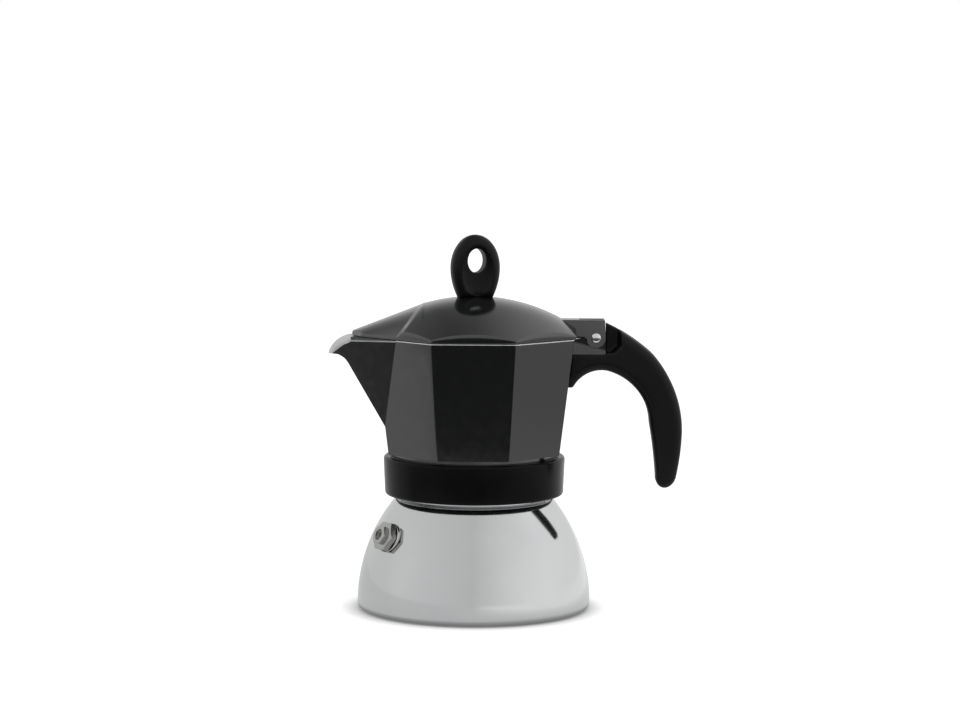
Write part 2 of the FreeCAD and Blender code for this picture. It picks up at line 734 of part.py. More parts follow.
LUG_FOOT = f"({PIN_Z} - lug_drop)"
lug_block = padded("lug_block", [
    (WALL_BACK, LUG_FOOT),
    ("pin_reach + lug_reach", LUG_FOOT),
    ("pin_reach + lug_reach", f"{PIN_Z} - lug_end_drop"),
    (WALL_BACK, f"{PIN_Z} - lug_top_drop"),
], "2 * ear_half_width")
lug = cut("lug", lug_block, across_hinge("ear_room", "ear_radius + ear_clearance", "2 * ear_half_width"))
tongue = padded("tongue", [
    (WALL_BACK, LUG_FOOT),
    ("pin_reach + lug_reach", LUG_FOOT),
    ("pin_reach + lug_reach", PIN_Z),
    ("pin_reach - lug_reach", PIN_Z),
    (WALL_BACK, f"{PIN_Z} - lug_top_drop"),
], f"2 * {KNUCKLE_HALF}")
knuckle = across_hinge("knuckle", "knuckle_radius", KNUCKLE_HALF)
outer_form = joined("outer_form", facets, spout_outer, beak_outer, skirt, lug, tongue, knuckle)

BOWL_FOOT = f"({SEAT} + collector_floor)"
bowl_space = octagon_tower(
    "bowl_space", BOWL_FOOT, f"{flats('collector_floor - seat_step')} - 2 * collector_wall",
    f"{RIM} + collector_wall", f"{flats('facet_height + collector_wall')} - 2 * collector_wall")
spout_space = loft("spout_space", spout_sections(
    "spout_space", f"{FACET_FOOT} + spout_rise + collector_wall", "collector_wall", flats("spout_rise"),
    f"{RIM} + fit_clearance", f"spout_reach - collector_wall * {DIAGONAL}",
    "spout_half_width - collector_wall", "collector_wall"))
KEEL_WALL = "(2 * lip_wall)"
beak_space = loft("beak_space", [
    beak_section("beak_space_root", "beak_root", f"{FACET_FOOT} + beak_keel_rise + 3 * collector_wall",
                 f"{ROOT_HALF_WIDTH} - collector_wall * {DIAGONAL}"),
    beak_section("beak_space_bend", "beak_bend", f"{FACET_FOOT} + beak_bend_rise + 1.8 * collector_wall",
                 "beak_bend_half_width - collector_wall"),
    beak_section("beak_space_throat", "beak_throat", f"{FACET_FOOT} + beak_throat_rise + {KEEL_WALL}",
                 "beak_throat_half_width - lip_wall"),
    beak_section("beak_space_curl", "beak_curl", f"{FACET_FOOT} + beak_curl_rise + {KEEL_WALL}",
                 "beak_curl_half_width - lip_wall"),
    beak_section("beak_space_tip", "lip_reach", f"{FACET_FOOT} + beak_tip_rise + {KEEL_WALL}",
                 "beak_tip_half_width - lip_wall"),
])
hollow_form = cut("hollow_form", outer_form, above_lip, bowl_space, spout_space, beak_space)
floor_hill = shape("Cone", "floor_hill", Radius1="floor_cone_radius", Radius2="column_flange",
                   Height="floor_cone", at__z=BOWL_FOOT)
CAVITY_TOP = f"({SEAT} + floor_cone)"
under_space = turned("under_space", [
    ("0", f"{SKIRT_FOOT} - collar_round"),
    ("neck_radius + thread_clearance", f"{SKIRT_FOOT} - collar_round"),
    ("neck_radius + thread_clearance", SEAT),
    ("gasket_bore - plate_lap", SEAT),
    ("column_bore", CAVITY_TOP),
    ("0", CAVITY_TOP),
])
column_hole = shape("Cylinder", "column_hole", Radius="column_radius + fit_clearance",
                    Height="2 * floor_cone", at__z=f"{CAVITY_TOP} - collector_floor / 2")
GROOVE_LEVEL = f"({THREAD_LEVEL} - thread_pitch)"
GROOVE_RADIUS = "neck_radius + thread_depth + thread_clearance"
thread_groove = body("thread_groove")
coiled(thread_groove, outline(thread_groove, "groove_section", [
    ("neck_radius - thread_clearance", f"{GROOVE_LEVEL} - thread_root / 2 - thread_clearance"),
    (GROOVE_RADIUS, f"{GROOVE_LEVEL} - thread_crest / 2 - thread_clearance"),
    (GROOVE_RADIUS, f"{GROOVE_LEVEL} + thread_crest / 2 + thread_clearance"),
    ("neck_radius - thread_clearance", f"{GROOVE_LEVEL} + thread_root / 2 + thread_clearance"),
]), "thread_pitch", "thread_turns + 1.1")
pin_hole = across_hinge("pin_hole", "pin_radius + pin_clearance", "ear_half_width")
SCREW_X = "(pin_reach - handle_screw_offset)"
screw_hole = shape("Cylinder", "screw_hole", Radius="handle_screw_radius + fit_clearance", at__x=SCREW_X,
                   at__z=f"{LUG_FOOT} - handle_screw_bite", Height="2 * handle_screw_bite + fit_clearance")
cut("collector", joined("floored_form", hollow_form, floor_hill), under_space, column_hole, thread_groove,
    pin_hole, screw_hole)

# Riser pressed into the collector's floor, with two outlets below its closed top
FLANGE_FOOT = f"({BOWL_FOOT} + floor_cone)"
COLUMN_TOP = f"({FLANGE_FOOT} + column_height)"
column_tube = turned("column_tube", [
    ("column_bore", CAVITY_TOP),
    ("column_radius", CAVITY_TOP),
    ("column_radius", FLANGE_FOOT),
    ("column_flange", FLANGE_FOOT),
    ("column_flange", f"{FLANGE_FOOT} + column_flange_height"),
    ("column_radius", f"{FLANGE_FOOT} + column_flange_height"),
    ("column_top_radius", COLUMN_TOP),
    ("0", COLUMN_TOP),
    ("0", f"{COLUMN_TOP} - column_cap"),
    ("column_bore", f"{COLUMN_TOP} - column_cap"),
])
column_slot = shape("Box", "column_slot_space", Length="4 * column_radius", Width="column_slot",
                    Height="column_slot_height", at__x="-2 * column_radius", at__y="-column_slot / 2",
                    at__z=f"{COLUMN_TOP} - column_cap - column_slot_height")
cut("brew_column", column_tube, column_slot)

# Black sleeve on the skirt
COLLAR_TOP = f"({FACET_FOOT} - collar_top_gap)"
turned("collar_sleeve", [
    ("skirt_radius + fit_clearance", COLLAR_FOOT),
    ("collar_bottom_radius - collar_round", COLLAR_FOOT, "collar_round", 1),
    ("collar_bottom_radius", f"{COLLAR_FOOT} + collar_round"),
    ("collar_top_radius", f"{COLLAR_TOP} - collar_round", "collar_round", 1),
    ("collar_top_radius - collar_round", COLLAR_TOP),
    ("skirt_radius + fit_clearance", COLLAR_TOP),
])

# Hinge rivet: pressed through the knuckle, with a flat head outside each ear
PIN_HALF = "(ear_half_width + fit_clearance)"
hinge_pin = turned("hinge_pin", [
    ("0", f"-{PIN_HALF} - pin_head_height"),
    ("pin_head", f"-{PIN_HALF} - pin_head_height"),
    ("pin_head", f"-{PIN_HALF}"),
    ("pin_radius", f"-{PIN_HALF}"),
    ("pin_radius", PIN_HALF),
    ("pin_head", PIN_HALF),
    ("pin_head", f"{PIN_HALF} + pin_head_height"),
    ("0", f"{PIN_HALF} + pin_head_height"),
])
hinge_pin.Placement = FreeCAD.Placement(FreeCAD.Vector(), ALONG_Y)
tie(hinge_pin, at__x="pin_reach", at__z=PIN_Z)

# Lid: a shallow dome on an eight-sided skirt, a nose over the spout and two hinge ears


def dome(name, curve, across, low, crease):
    """The ball's cap over the eight-sided plan, ended at the slanting crease before the nose."""
    ball = shape("Sphere", name + "_ball", Radius=curve, at__z=f"{APEX} - lid_curve")
    plan = shape("Prism", name + "_plan", FreeCAD.Rotation(FreeCAD.Vector(0, 0, 1), 22.5),
                 Circumradius=f"({across}) / 2 * {CORNER_REACH}", Height="2 * lid_rise", at__z=low)
    plan.Polygon = 8
    beyond = padded(name + "_beyond", [
        (f"-({crease}) - lid_rise * tan(crease_slant)", f"{LID_FOOT} + nose_eave - lid_rise"),
        (f"-({crease}) + 2 * lid_rise * tan(crease_slant)", f"{LID_FOOT} + nose_eave + 2 * lid_rise"),
        ("-lid_flats", f"{LID_FOOT} + nose_eave + 2 * lid_rise"),
        ("-lid_flats", f"{LID_FOOT} + nose_eave - lid_rise"),
    ], "2 * lid_flats")
    return cut(name, shared(name + "_cap", ball, plan), beyond)


def nose_section(name, reach, across, low, eave, ridge):
    """A low roof across the nose, with a rounded ridge."""
    half = f"(({across}) / 2 * {DIAGONAL} - ({reach}))"
    brow = f"({ridge} - nose_ridge_round + sqrt(nose_ridge_round^2 - nose_ridge_half_width^2))"
    return outline(None, name, [
        (f"-{half}", low),
        (half, low),
        (half, eave),
        ("nose_ridge_half_width", brow, "nose_ridge_round", 1),
        ("-nose_ridge_half_width", brow),
        (f"-{half}", eave),
    ], "YZ_Plane", at__x=f"-({reach})")


ROOT_RIDGE = f"({APEX} - lid_curve + sqrt(lid_curve^2 - nose_root^2))"
EAVE = f"({LID_FOOT} + nose_eave)"
lid_dome = dome("lid_dome", "lid_curve", "lid_flats", LID_FOOT, "crease_reach")
nose = loft("nose", [
    nose_section("nose_root", "nose_root", "lid_flats", LID_FOOT, EAVE, ROOT_RIDGE),
    nose_section("nose_end", "nose_reach", "lid_flats", LID_FOOT, EAVE, f"{LID_FOOT} + nose_end_rise"),
])
ARM_FOOT = f"({LID_FOOT} + fit_clearance)"
arm = padded("arm", [
    ("lid_flats / 2 - arm_root", ARM_FOOT),
    ("pin_reach - ear_radius", ARM_FOOT),
    ("pin_reach - ear_radius", PIN_Z),
    ("pin_reach + ear_radius", PIN_Z),
    ("pin_reach + ear_radius - ear_clearance", f"{PIN_Z} + arm_rise"),
    ("lid_flats / 2 - arm_root", f"{PIN_Z} + arm_rise"),
], "2 * ear_half_width")
ear_ends = across_hinge("ear_ends", "ear_radius", "ear_half_width")
lid_form = joined("lid_form", lid_dome, nose, arm, ear_ends)
INNER_FLATS = "lid_flats - 2 * lid_wall"
INNER_FOOT = f"({LID_FOOT} - lid_wall)"
inner_dome = dome("inner_dome", "lid_curve - lid_wall", INNER_FLATS, INNER_FOOT,
                  "crease_reach - 1.3 * lid_wall")
inner_nose = loft("inner_nose", [
    nose_section("inner_nose_root", "nose_root - lid_wall", INNER_FLATS, INNER_FOOT,
                 f"{EAVE} - lid_wall", f"{ROOT_RIDGE} - lid_wall"),
    nose_section("inner_nose_end", "nose_reach - lid_wall", INNER_FLATS, INNER_FOOT,
                 f"{EAVE} - lid_wall", f"{LID_FOOT} + nose_end_rise - lid_wall"),
])
ear_slot = shape("Box", "ear_slot", Length="4 * arm_slot", Width=f"2 * {EAR_INNER}", Height="4 * arm_rise",
                 at__x="pin_reach - arm_slot", at__y=f"-{EAR_INNER}", at__z=f"{PIN_Z} - 2 * arm_rise")
lid_pin_hole = across_hinge("lid_pin_hole", "pin_radius + pin_clearance", "2 * ear_half_width")
knob_screw_hole = shape("Cylinder", "knob_screw_hole", Radius="knob_screw_radius + fit_clearance",
                        Height="2 * lid_rise", at__z=LID_FOOT)
cut("lid", lid_form, inner_dome, inner_nose, ear_slot, lid_pin_hole, knob_screw_hole)

# Loop knob: an upright egg-shaped ring, dished on both faces, standing on the dome
knob_blank = padded("knob_blank", [
    ("knob_foot", "0", "knob_flank", 1),
    ("knob_half_width", "knob_waist", "knob_crown", 1),
    ("0", "knob_height", "knob_crown", 1),
    ("-knob_half_width", "knob_waist", "knob_flank", 1),
    ("-knob_foot", "0"),
], "knob_thickness")
document.recompute()
knob_pad = knob_blank.Tip
knob_rims = [
    f"Edge{index}" for index, edge in enumerate(knob_pad.Shape.Edges, 1)
    if edge.BoundBox.YLength < number("fit_clearance") and edge.BoundBox.ZMax > number("knob_waist") / 2
]
knob_rounding = knob_blank.newObject("PartDesign::Fillet", "knob_rounding")
knob_rounding.Base = (knob_pad, knob_rims)
tie(knob_rounding, Radius="knob_round")
knob_eye = shape("Ellipse", "knob_eye", ALONG_Y * FreeCAD.Rotation(90, 0, 0),
                 MajorRadius="knob_hole_half_height", MinorRadius="knob_hole_half_width",
                 at__z="knob_hole_rise")
knob_hole = document.addObject("Part::Extrusion", "knob_hole")
knob_hole.Base = knob_eye
knob_hole.DirMode = "Normal"
knob_hole.Solid = True
knob_hole.Symmetric = True
tie(knob_hole, LengthFwd="2 * knob_thickness")
dishes = []
for side in (-1, 1):
    dishes.append(shape(
        "Ellipsoid", "knob_dish_front" if side < 0 else "knob_dish_back", ALONG_Y,
        Radius1="knob_dish", Radius2="knob_dish_half_width", Radius3="knob_dish_half_height",
        at__y=f"{side} * knob_thickness / 2", at__z="knob_hole_rise - knob_dish_drop"))
knob_seat = shape("Sphere", "knob_seat", Radius="lid_curve + fit_clearance", at__z="knob_sink - lid_curve")
knob_thread = shape("Cylinder", "knob_thread", Radius="knob_screw_radius + fit_clearance",
                    Height="2 * knob_screw_grip", at__z="knob_sink - knob_screw_grip + fit_clearance")
lid_knob = cut("lid_knob", knob_blank, knob_hole, *dishes, knob_seat, knob_thread)
lid_knob.Placement = FreeCAD.Placement(FreeCAD.Vector(), FreeCAD.Rotation(number("knob_turn"), 0, 0))
tie(lid_knob, at__z=f"{APEX} - knob_sink")

# Screw and washer that hold the knob, under the dome
INNER_CURVE = "(lid_curve - lid_wall)"
WASHER_TOP = f"({APEX} - lid_curve + sqrt({INNER_CURVE}^2 - knob_washer_radius^2))"
WASHER_FOOT = f"({WASHER_TOP} - knob_washer_thickness)"
turned("knob_washer", [
    ("knob_screw_radius + fit_clearance", WASHER_FOOT),
    ("knob_washer_radius", WASHER_FOOT),
    ("knob_washer_radius", WASHER_TOP),
    ("knob_screw_radius + fit_clearance", WASHER_TOP),
])
turned("knob_screw", [
    ("0", f"{WASHER_FOOT} - knob_screw_head_height"),
    ("knob_screw_head", f"{WASHER_FOOT} - knob_screw_head_height"),
    ("knob_screw_head", WASHER_FOOT),
    ("knob_screw_radius", WASHER_FOOT),
    ("knob_screw_radius", f"{APEX} + knob_screw_grip"),
    ("0", f"{APEX} + knob_screw_grip"),
])

# Handle: one moulding that hangs from its nose, arches over the finger gap and stands under the lug


def from_pin(across, drop):
    """A point of the handle's outline, measured outwards and down from the hinge pin."""
    return f"pin_reach + {across}", f"{PIN_Z} - {drop}"


def beside_facet(height):
    """How far out the handle's foot stands, just clear of the +X facet."""
    return f"{flats(height)} / 2 + fit_clearance"


FOOT_LEVEL = f"({PIN_Z} - handle_foot_drop)"
handle_side = padded("handle_side", [
    ("pin_reach + handle_nose", f"{PIN_Z} + handle_nose_rise", "handle_top_arc", -1),
    (*from_pin("handle_bend_reach", "handle_bend_drop"), "handle_back_arc", -1),
    (*from_pin("handle_back_reach", "handle_back_drop"), "handle_heel_arc", -1),
    (*from_pin("handle_heel_reach", "handle_heel_drop"), "handle_tip_arc", -1),
    (*from_pin("handle_tip_reach", "handle_tip_drop"), "handle_palm_arc", -1),
    (*from_pin("handle_palm_reach", "handle_palm_drop"), "handle_grip_arc", 1),
    (*from_pin("handle_grip_reach", "handle_grip_drop"), "handle_arch_arc", 1),
    (*from_pin("handle_arch_reach", "handle_arch_drop"), "handle_foot_arc", 1),
    ("pin_reach - handle_foot_reach", FOOT_LEVEL),
    (beside_facet(f"{FOOT_LEVEL} - {FACET_FOOT}"), FOOT_LEVEL),
    (beside_facet(f"{LUG_FOOT} - {FACET_FOOT}"), LUG_FOOT),
    ("pin_reach + handle_nose", LUG_FOOT),
], "2 * handle_width")
TIP_LEVEL = f"({PIN_Z} - handle_tip_drop - handle_tip_arc)"
TOP_LEVEL = f"({PIN_Z} + 2 * handle_nose_rise)"
SIDE_BULGE = "((handle_width - (handle_tip_width + handle_top_width) / 2) / 2)"
SIDE_ARC = f"((({TOP_LEVEL} - {TIP_LEVEL})^2 / 4 + {SIDE_BULGE}^2) / (2 * {SIDE_BULGE}))"
handle_front = padded("handle_front", [
    ("-handle_tip_width / 2", TIP_LEVEL),
    ("handle_tip_width / 2", TIP_LEVEL, SIDE_ARC, 1),
    ("handle_top_width / 2", TOP_LEVEL),
    ("-handle_top_width / 2", TOP_LEVEL, SIDE_ARC, 1),
], "4 * (pin_reach + handle_back_reach)", "YZ_Plane")
handle_blank = shared("handle_blank", handle_side, handle_front)
document.recompute()
long_edges = [
    index for index, edge in enumerate(handle_blank.Shape.Edges, 1)
    if edge.BoundBox.XMax > number("pin_reach + handle_nose + fit_clearance")
    and min(abs(edge.BoundBox.YMin), abs(edge.BoundBox.YMax)) > number("handle_tip_width") / 4
]
handle_rounded = document.addObject("Part::Fillet", "handle_rounded")
handle_rounded.Base = handle_blank
handle_rounded.Edges = [(index, number("handle_round"), number("handle_round")) for index in long_edges]


def relief(name, side):
    """Room beside the handle's nose for one ear of the lid to swing down, widening outwards."""
    sections = []
    for end, out, spread in (("inner", KNUCKLE_HALF, "0"), ("outer", "handle_width", "relief_slope")):
        reach = f"(relief_reach + {spread})"
        sections.append(outline(None, f"{name}_{end}", [
            ("pin_reach", f"{PIN_Z} + 3 * handle_nose_rise"),
            ("pin_reach", f"{PIN_Z} - relief_drop"),
            (f"pin_reach + {reach} - relief_corner", f"{PIN_Z} - relief_drop"),
            (f"pin_reach + {reach}", f"{PIN_Z} - relief_drop + relief_corner"),
            (f"pin_reach + {reach}", f"{PIN_Z} + 3 * handle_nose_rise"),
        ], at__y=f"{side} * {out}"))
    return loft(name, sections)


SCREW_SEAT = f"({LUG_FOOT} - handle_screw_grip)"
handle_screw_way = shape("Cylinder", "handle_screw_way", Radius="handle_screw_radius + fit_clearance",
                         at__x=SCREW_X, at__z=f"{SCREW_SEAT} - handle_screw_grip",
                         Height="3 * handle_screw_grip")
handle_screw_pocket = shape("Cylinder", "handle_screw_pocket", Radius="handle_screw_head + fit_clearance",
                            at__x=SCREW_X, at__z=FOOT_LEVEL, Height=f"{SCREW_SEAT} - {FOOT_LEVEL}")
cut("handle", handle_rounded, relief("relief_front", -1), relief("relief_back", 1), handle_screw_way,
    handle_screw_pocket)
tie(turned("handle_screw", [
    ("0", f"{SCREW_SEAT} - handle_screw_head_height"),
    ("handle_screw_head", f"{SCREW_SEAT} - handle_screw_head_height"),
    ("handle_screw_head", SCREW_SEAT),
    ("handle_screw_radius", SCREW_SEAT),
    ("handle_screw_radius", f"{LUG_FOOT} + handle_screw_bite"),
    ("0", f"{LUG_FOOT} + handle_screw_bite"),
]), at__x=SCREW_X)

NODES = [
    "boiler_shell", "induction_disc", "valve_body", "valve_washer", "valve_nut", "valve_cap",
    "valve_plunger", "valve_spring", "funnel", "funnel_sieve", "gasket", "filter_plate",
    "collector", "brew_column",
    "collar_sleeve", "hinge_pin", "lid", "lid_knob", "knob_washer", "knob_screw", "handle", "handle_screw",
]
document.recompute()
for piece in document.Objects:
    faults = {"Invalid", "Error"} & set(piece.State)
    if faults:
        raise RuntimeError(f"{piece.Label} failed: {piece.State}")
os.makedirs("parts", exist_ok=True)
for node in NODES:
    solid = document.getObjectsByLabel(node)[0].Shape
    if solid.isNull() or not solid.isValid():
        raise RuntimeError(f"{node} has no valid shape")
    print(f"{node}: {len(solid.Solids)} solid, {solid.Volume:.1f} mm3")
for node in NODES:
    document.getObjectsByLabel(node)[0].Shape.exportStep(f"parts/{node}.step")
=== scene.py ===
import math

import bmesh
import bpy
from mathutils import Matrix, Vector


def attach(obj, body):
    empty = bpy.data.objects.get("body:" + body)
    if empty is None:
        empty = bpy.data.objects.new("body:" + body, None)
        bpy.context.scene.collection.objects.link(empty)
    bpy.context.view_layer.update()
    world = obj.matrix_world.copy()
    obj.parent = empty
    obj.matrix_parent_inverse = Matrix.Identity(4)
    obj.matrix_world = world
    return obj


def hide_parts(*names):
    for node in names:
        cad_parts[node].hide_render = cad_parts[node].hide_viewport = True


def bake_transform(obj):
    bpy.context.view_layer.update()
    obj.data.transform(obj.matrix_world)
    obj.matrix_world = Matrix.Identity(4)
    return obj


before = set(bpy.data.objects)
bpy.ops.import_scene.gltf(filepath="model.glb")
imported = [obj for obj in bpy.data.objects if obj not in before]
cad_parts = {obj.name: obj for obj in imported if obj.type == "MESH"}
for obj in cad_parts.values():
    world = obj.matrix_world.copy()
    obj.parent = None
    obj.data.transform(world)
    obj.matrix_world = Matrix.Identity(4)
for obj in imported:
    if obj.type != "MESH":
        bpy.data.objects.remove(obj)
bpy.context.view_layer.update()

# Camera: it stands about 1.25 m in front of the pot, a little above the knob, with a long lens.
# Its axes come from the three small angles that it is turned, dipped and rolled by.
CAMERA_PLACE = (0.01497, -1.24991, 0.22829)
camera_turn = math.radians(0.5807)
camera_dip = math.radians(5.4405)
camera_roll = math.radians(0.2939)
level_right = Vector((math.cos(camera_turn), math.sin(camera_turn), 0))
level_ahead = Vector((-math.sin(camera_turn), math.cos(camera_turn), 0))
ahead = level_ahead * math.cos(camera_dip) - Vector((0, 0, math.sin(camera_dip)))
level_up = level_right.cross(ahead)
right = level_right * math.cos(camera_roll) + level_up * math.sin(camera_roll)
up = level_up * math.cos(camera_roll) - level_right * math.sin(camera_roll)
camera = bpy.data.objects.new("camera", bpy.data.cameras.new("camera"))
bpy.context.scene.collection.objects.link(camera)
camera.matrix_world = Matrix.Translation(CAMERA_PLACE) @ (
    Matrix((right, up, -ahead)).transposed().to_4x4())
camera.data.sensor_width = 36
camera.data.lens = 107.707
bpy.context.scene.camera = camera
bpy.context.scene.view_settings.view_transform = "Standard"

# Floor and light: a wide sheet of white paper under one even studio sky, both full white to the
# camera. In the pot's reflections the room behind the camera is darker than the sides and the top.


def colour(code):
    """An sRGB colour such as #20a0ff, as the linear colour that a shader takes."""
    parts = [int(code[i:i + 2], 16) / 255 for i in (1, 3, 5)]
    linear = [p / 12.92 if p <= 0.04045 else ((p + 0.055) / 1.055) ** 2.4 for p in parts]
    return (*linear, 1.0)


def feed(node, inputs):
    """Gives each of these inputs of a node its value, or a link from a socket."""
    for key, value in inputs.items():
        if isinstance(value, bpy.types.NodeSocket):
            node.id_data.links.new(value, node.inputs[key])
        else:
            node.inputs[key].default_value = value


def add(tree, kind, inputs=None, **settings):
    """Adds a node with its settings; each input is given a value, or a socket to link from."""
    node = tree.nodes.new(kind)
    for name, value in settings.items():
        setattr(node, name, value)
    feed(node, inputs or {})
    return node


def surface(name, sockets):
    """A new material with these shader sockets: it, its tree, its shader, object coordinates."""
    material = bpy.data.materials.new(name)
    material.use_nodes = True
    tree = material.node_tree
    tree.nodes.clear()
    shader = add(tree, "ShaderNodeBsdfPrincipled", sockets)
    add(tree, "ShaderNodeOutputMaterial", {"Surface": shader.outputs["BSDF"]})
    return material, tree, shader, add(tree, "ShaderNodeTexCoord").outputs["Object"]


def made(name, points, faces, *materials):
    """An object from points in millimetres, closed at shared points, faces turned outwards."""
    mesh = bpy.data.meshes.new(name)
    mesh.from_pydata([Vector(point) * 0.001 for point in points], [], faces)
    work = bmesh.new()
    work.from_mesh(mesh)
    bmesh.ops.remove_doubles(work, verts=work.verts, dist=1e-7)
    bmesh.ops.recalc_face_normals(work, faces=work.faces)
    work.to_mesh(mesh)
    work.free()
    mesh.shade_smooth()
    mesh.set_sharp_from_angle(angle=math.radians(32))
    for material in materials:
        mesh.materials.append(material)
    thing = bpy.data.objects.new(name, mesh)
    bpy.context.scene.collection.objects.link(thing)
    return thing


world = bpy.data.worlds.new("studio")
bpy.context.scene.world = world
world.use_nodes = True
sky = world.node_tree
sky.nodes.clear()
toward = add(sky, "ShaderNodeSeparateXYZ", {
    "Vector": add(sky, "ShaderNodeTexCoord").outputs["Generated"]})
right_side = add(sky, "ShaderNodeMapRange", {
    "Value": toward.outputs["X"], "From Min": 0.0, "From Max": 1.0, "To Min": 0.66, "To Max": 1.0})
left_side = add(sky, "ShaderNodeMapRange", {
    "Value": toward.outputs["X"], "From Min": 0.0, "From Max": -1.0, "To Min": 0.0, "To Max": 0.12})
before = add(sky, "ShaderNodeMath", {
    0: right_side.outputs["Result"], 1: left_side.outputs["Result"]}, operation="ADD")
across = add(sky, "ShaderNodeMapRange", {"Value": toward.outputs["X"], "From Min": -1.0, "From Max": 1.0})
overhead = add(sky, "ShaderNodeValToRGB", {"Fac": across.outputs["Result"]})
for place, tone in ((0.2, 0.75), (0.31, 0.32), (0.42, 0.2), (0.5, 0.27), (0.625, 0.62), (0.8, 0.95)):
    overhead.color_ramp.elements.new(place).color = (tone, tone, tone, 1.0)
overhead.color_ramp.elements[0].color = (0.8, 0.8, 0.8, 1.0)
overhead.color_ramp.elements[-1].color = (1.0, 1.0, 1.0, 1.0)
raised = add(sky, "ShaderNodeMapRange", {
    "Value": toward.outputs["Z"], "From Min": 0.18, "From Max": 0.62, "To Min": 0.0, "To Max": 1.0},
    interpolation_type="SMOOTHSTEP")
skyline = add(sky, "ShaderNodeMapRange", {
    "Value": toward.outputs["X"], "From Min": 0.0, "From Max": 0.9, "To Min": 0.74, "To Max": 0.95})
behind = add(sky, "ShaderNodeMix", {
    0: raised.outputs["Result"], 2: skyline.outputs["Result"], 3: overhead.outputs["Color"]})
in_back = add(sky, "ShaderNodeMapRange", {
    "Value": toward.outputs["Y"], "From Min": -0.25, "From Max": 0.25, "To Min": 0.0, "To Max": 1.0},
    interpolation_type="SMOOTHSTEP")
upper = add(sky, "ShaderNodeMix", {
    0: in_back.outputs["Result"], 2: before.outputs[0], 3: behind.outputs[0]})
in_front = add(sky, "ShaderNodeMapRange", {
    "Value": toward.outputs["Y"], "From Min": -0.5, "From Max": -0.8, "To Min": 0.0, "To Max": 1.0},
    interpolation_type="SMOOTHSTEP")
under = add(sky, "ShaderNodeMapRange", {
    "Value": toward.outputs["Z"], "From Min": 0.0, "From Max": -0.08, "To Min": 0.0, "To Max": 1.0},
    interpolation_type="SMOOTHSTEP")
dark_part = add(sky, "ShaderNodeMath", {
    0: in_front.outputs["Result"], 1: under.outputs["Result"]}, operation="MULTIPLY")
level = add(sky, "ShaderNodeMix", {0: dark_part.outputs[0], 2: upper.outputs[0], 3: 0.04})
seen = add(sky, "ShaderNodeMix", {
    0: add(sky, "ShaderNodeLightPath").outputs["Is Camera Ray"], 2: level.outputs[0], 3: 1.0})
add(sky, "ShaderNodeOutputWorld", {"Surface": add(sky, "ShaderNodeBackground", {
    "Color": colour("#ffffff"), "Strength": seen.outputs[0]}).outputs["Background"]})

paper, paper_tree, paper_shader, paper_place = surface("white_paper_painted_glow", {
    "Roughness": 0.9, "Specular IOR Level": 0.2, "Emission Color": colour("#ffffff")})
# White paper, lit and glowing by emission to full white in the picture, with a painted shadow: an
# occlusion node dims the glow round what stands on it. To the pot's own reflections it shows painted
# emission only: darker beside the spout, in front and to the right, and pale far off.
paper_grain = add(paper_tree, "ShaderNodeTexNoise", {
    "Vector": paper_place, "Scale": 900.0, "Detail": 3.0})
paper_tone = add(paper_tree, "ShaderNodeMix", {
    0: paper_grain.outputs["Fac"], 6: colour("#f1f1f1"), 7: colour("#f6f6f6")}, data_type="RGBA")
# Painted shadow: ambient occlusion darkens the paper's glow close to the pot, for the camera and, more
# weakly, in reflections.
paper_near = add(paper_tree, "ShaderNodeAmbientOcclusion", {"Distance": 0.009}, samples=16)
paper_painted_shadow = add(paper_tree, "ShaderNodeMapRange", {
    "Value": paper_near.outputs["AO"], "From Min": 0.45, "From Max": 1.0, "To Min": 0.1, "To Max": 1.0})
paper_painted_dusk = add(paper_tree, "ShaderNodeMapRange", {
    "Value": paper_near.outputs["AO"], "From Min": 0.45, "From Max": 1.0,
    "To Min": 0.42, "To Max": 1.0})
paper_painted_glow = add(paper_tree, "ShaderNodeMath", {
    0: paper_painted_shadow.outputs["Result"], 1: 0.56}, operation="MULTIPLY")
feed(paper_shader, {"Base Color": paper_tone.outputs[2], "Emission Strength": paper_painted_glow.outputs[0]})
# Painted reflection levels: darker beside the spout, dark past 0.2 m in front, darker to the right for
# steep rays, paler at grazing angles.
paper_axes = add(paper_tree, "ShaderNodeSeparateXYZ", {"Vector": paper_place})
paper_left = add(paper_tree, "ShaderNodeMapRange", {
    "Value": paper_axes.outputs["X"], "From Min": -0.2, "From Max": -0.26},
    interpolation_type="SMOOTHSTEP")
paper_fore = add(paper_tree, "ShaderNodeMapRange", {
    "Value": paper_axes.outputs["Y"], "From Min": -0.02, "From Max": -0.032},
    interpolation_type="SMOOTHSTEP")
paper_painted_dim = add(paper_tree, "ShaderNodeMath", {
    0: paper_left.outputs["Result"], 1: paper_fore.outputs["Result"]}, operation="MULTIPLY")
paper_far = add(paper_tree, "ShaderNodeMix", {0: paper_painted_dim.outputs[0], 2: 0.64, 3: 0.13})
paper_end = add(paper_tree, "ShaderNodeMath", {
    0: paper_axes.outputs["Y"], 1: -0.2}, operation="LESS_THAN")
paper_front = add(paper_tree, "ShaderNodeMix", {
    0: paper_end.outputs[0], 2: paper_far.outputs[0], 3: 0.04})
paper_shade = add(paper_tree, "ShaderNodeMapRange", {
    "Value": paper_axes.outputs["X"], "From Min": 0.1, "From Max": 0.35, "To Min": 1.0, "To Max": 0.72})
paper_steep = add(paper_tree, "ShaderNodeMath", {
    0: paper_front.outputs[0], 1: paper_shade.outputs["Result"]}, operation="MULTIPLY")
paper_low = add(paper_tree, "ShaderNodeMapRange", {
    "Value": add(paper_tree, "ShaderNodeLayerWeight").outputs["Facing"],
    "From Min": 0.78, "From Max": 0.9, "To Min": 0.0, "To Max": 1.0})
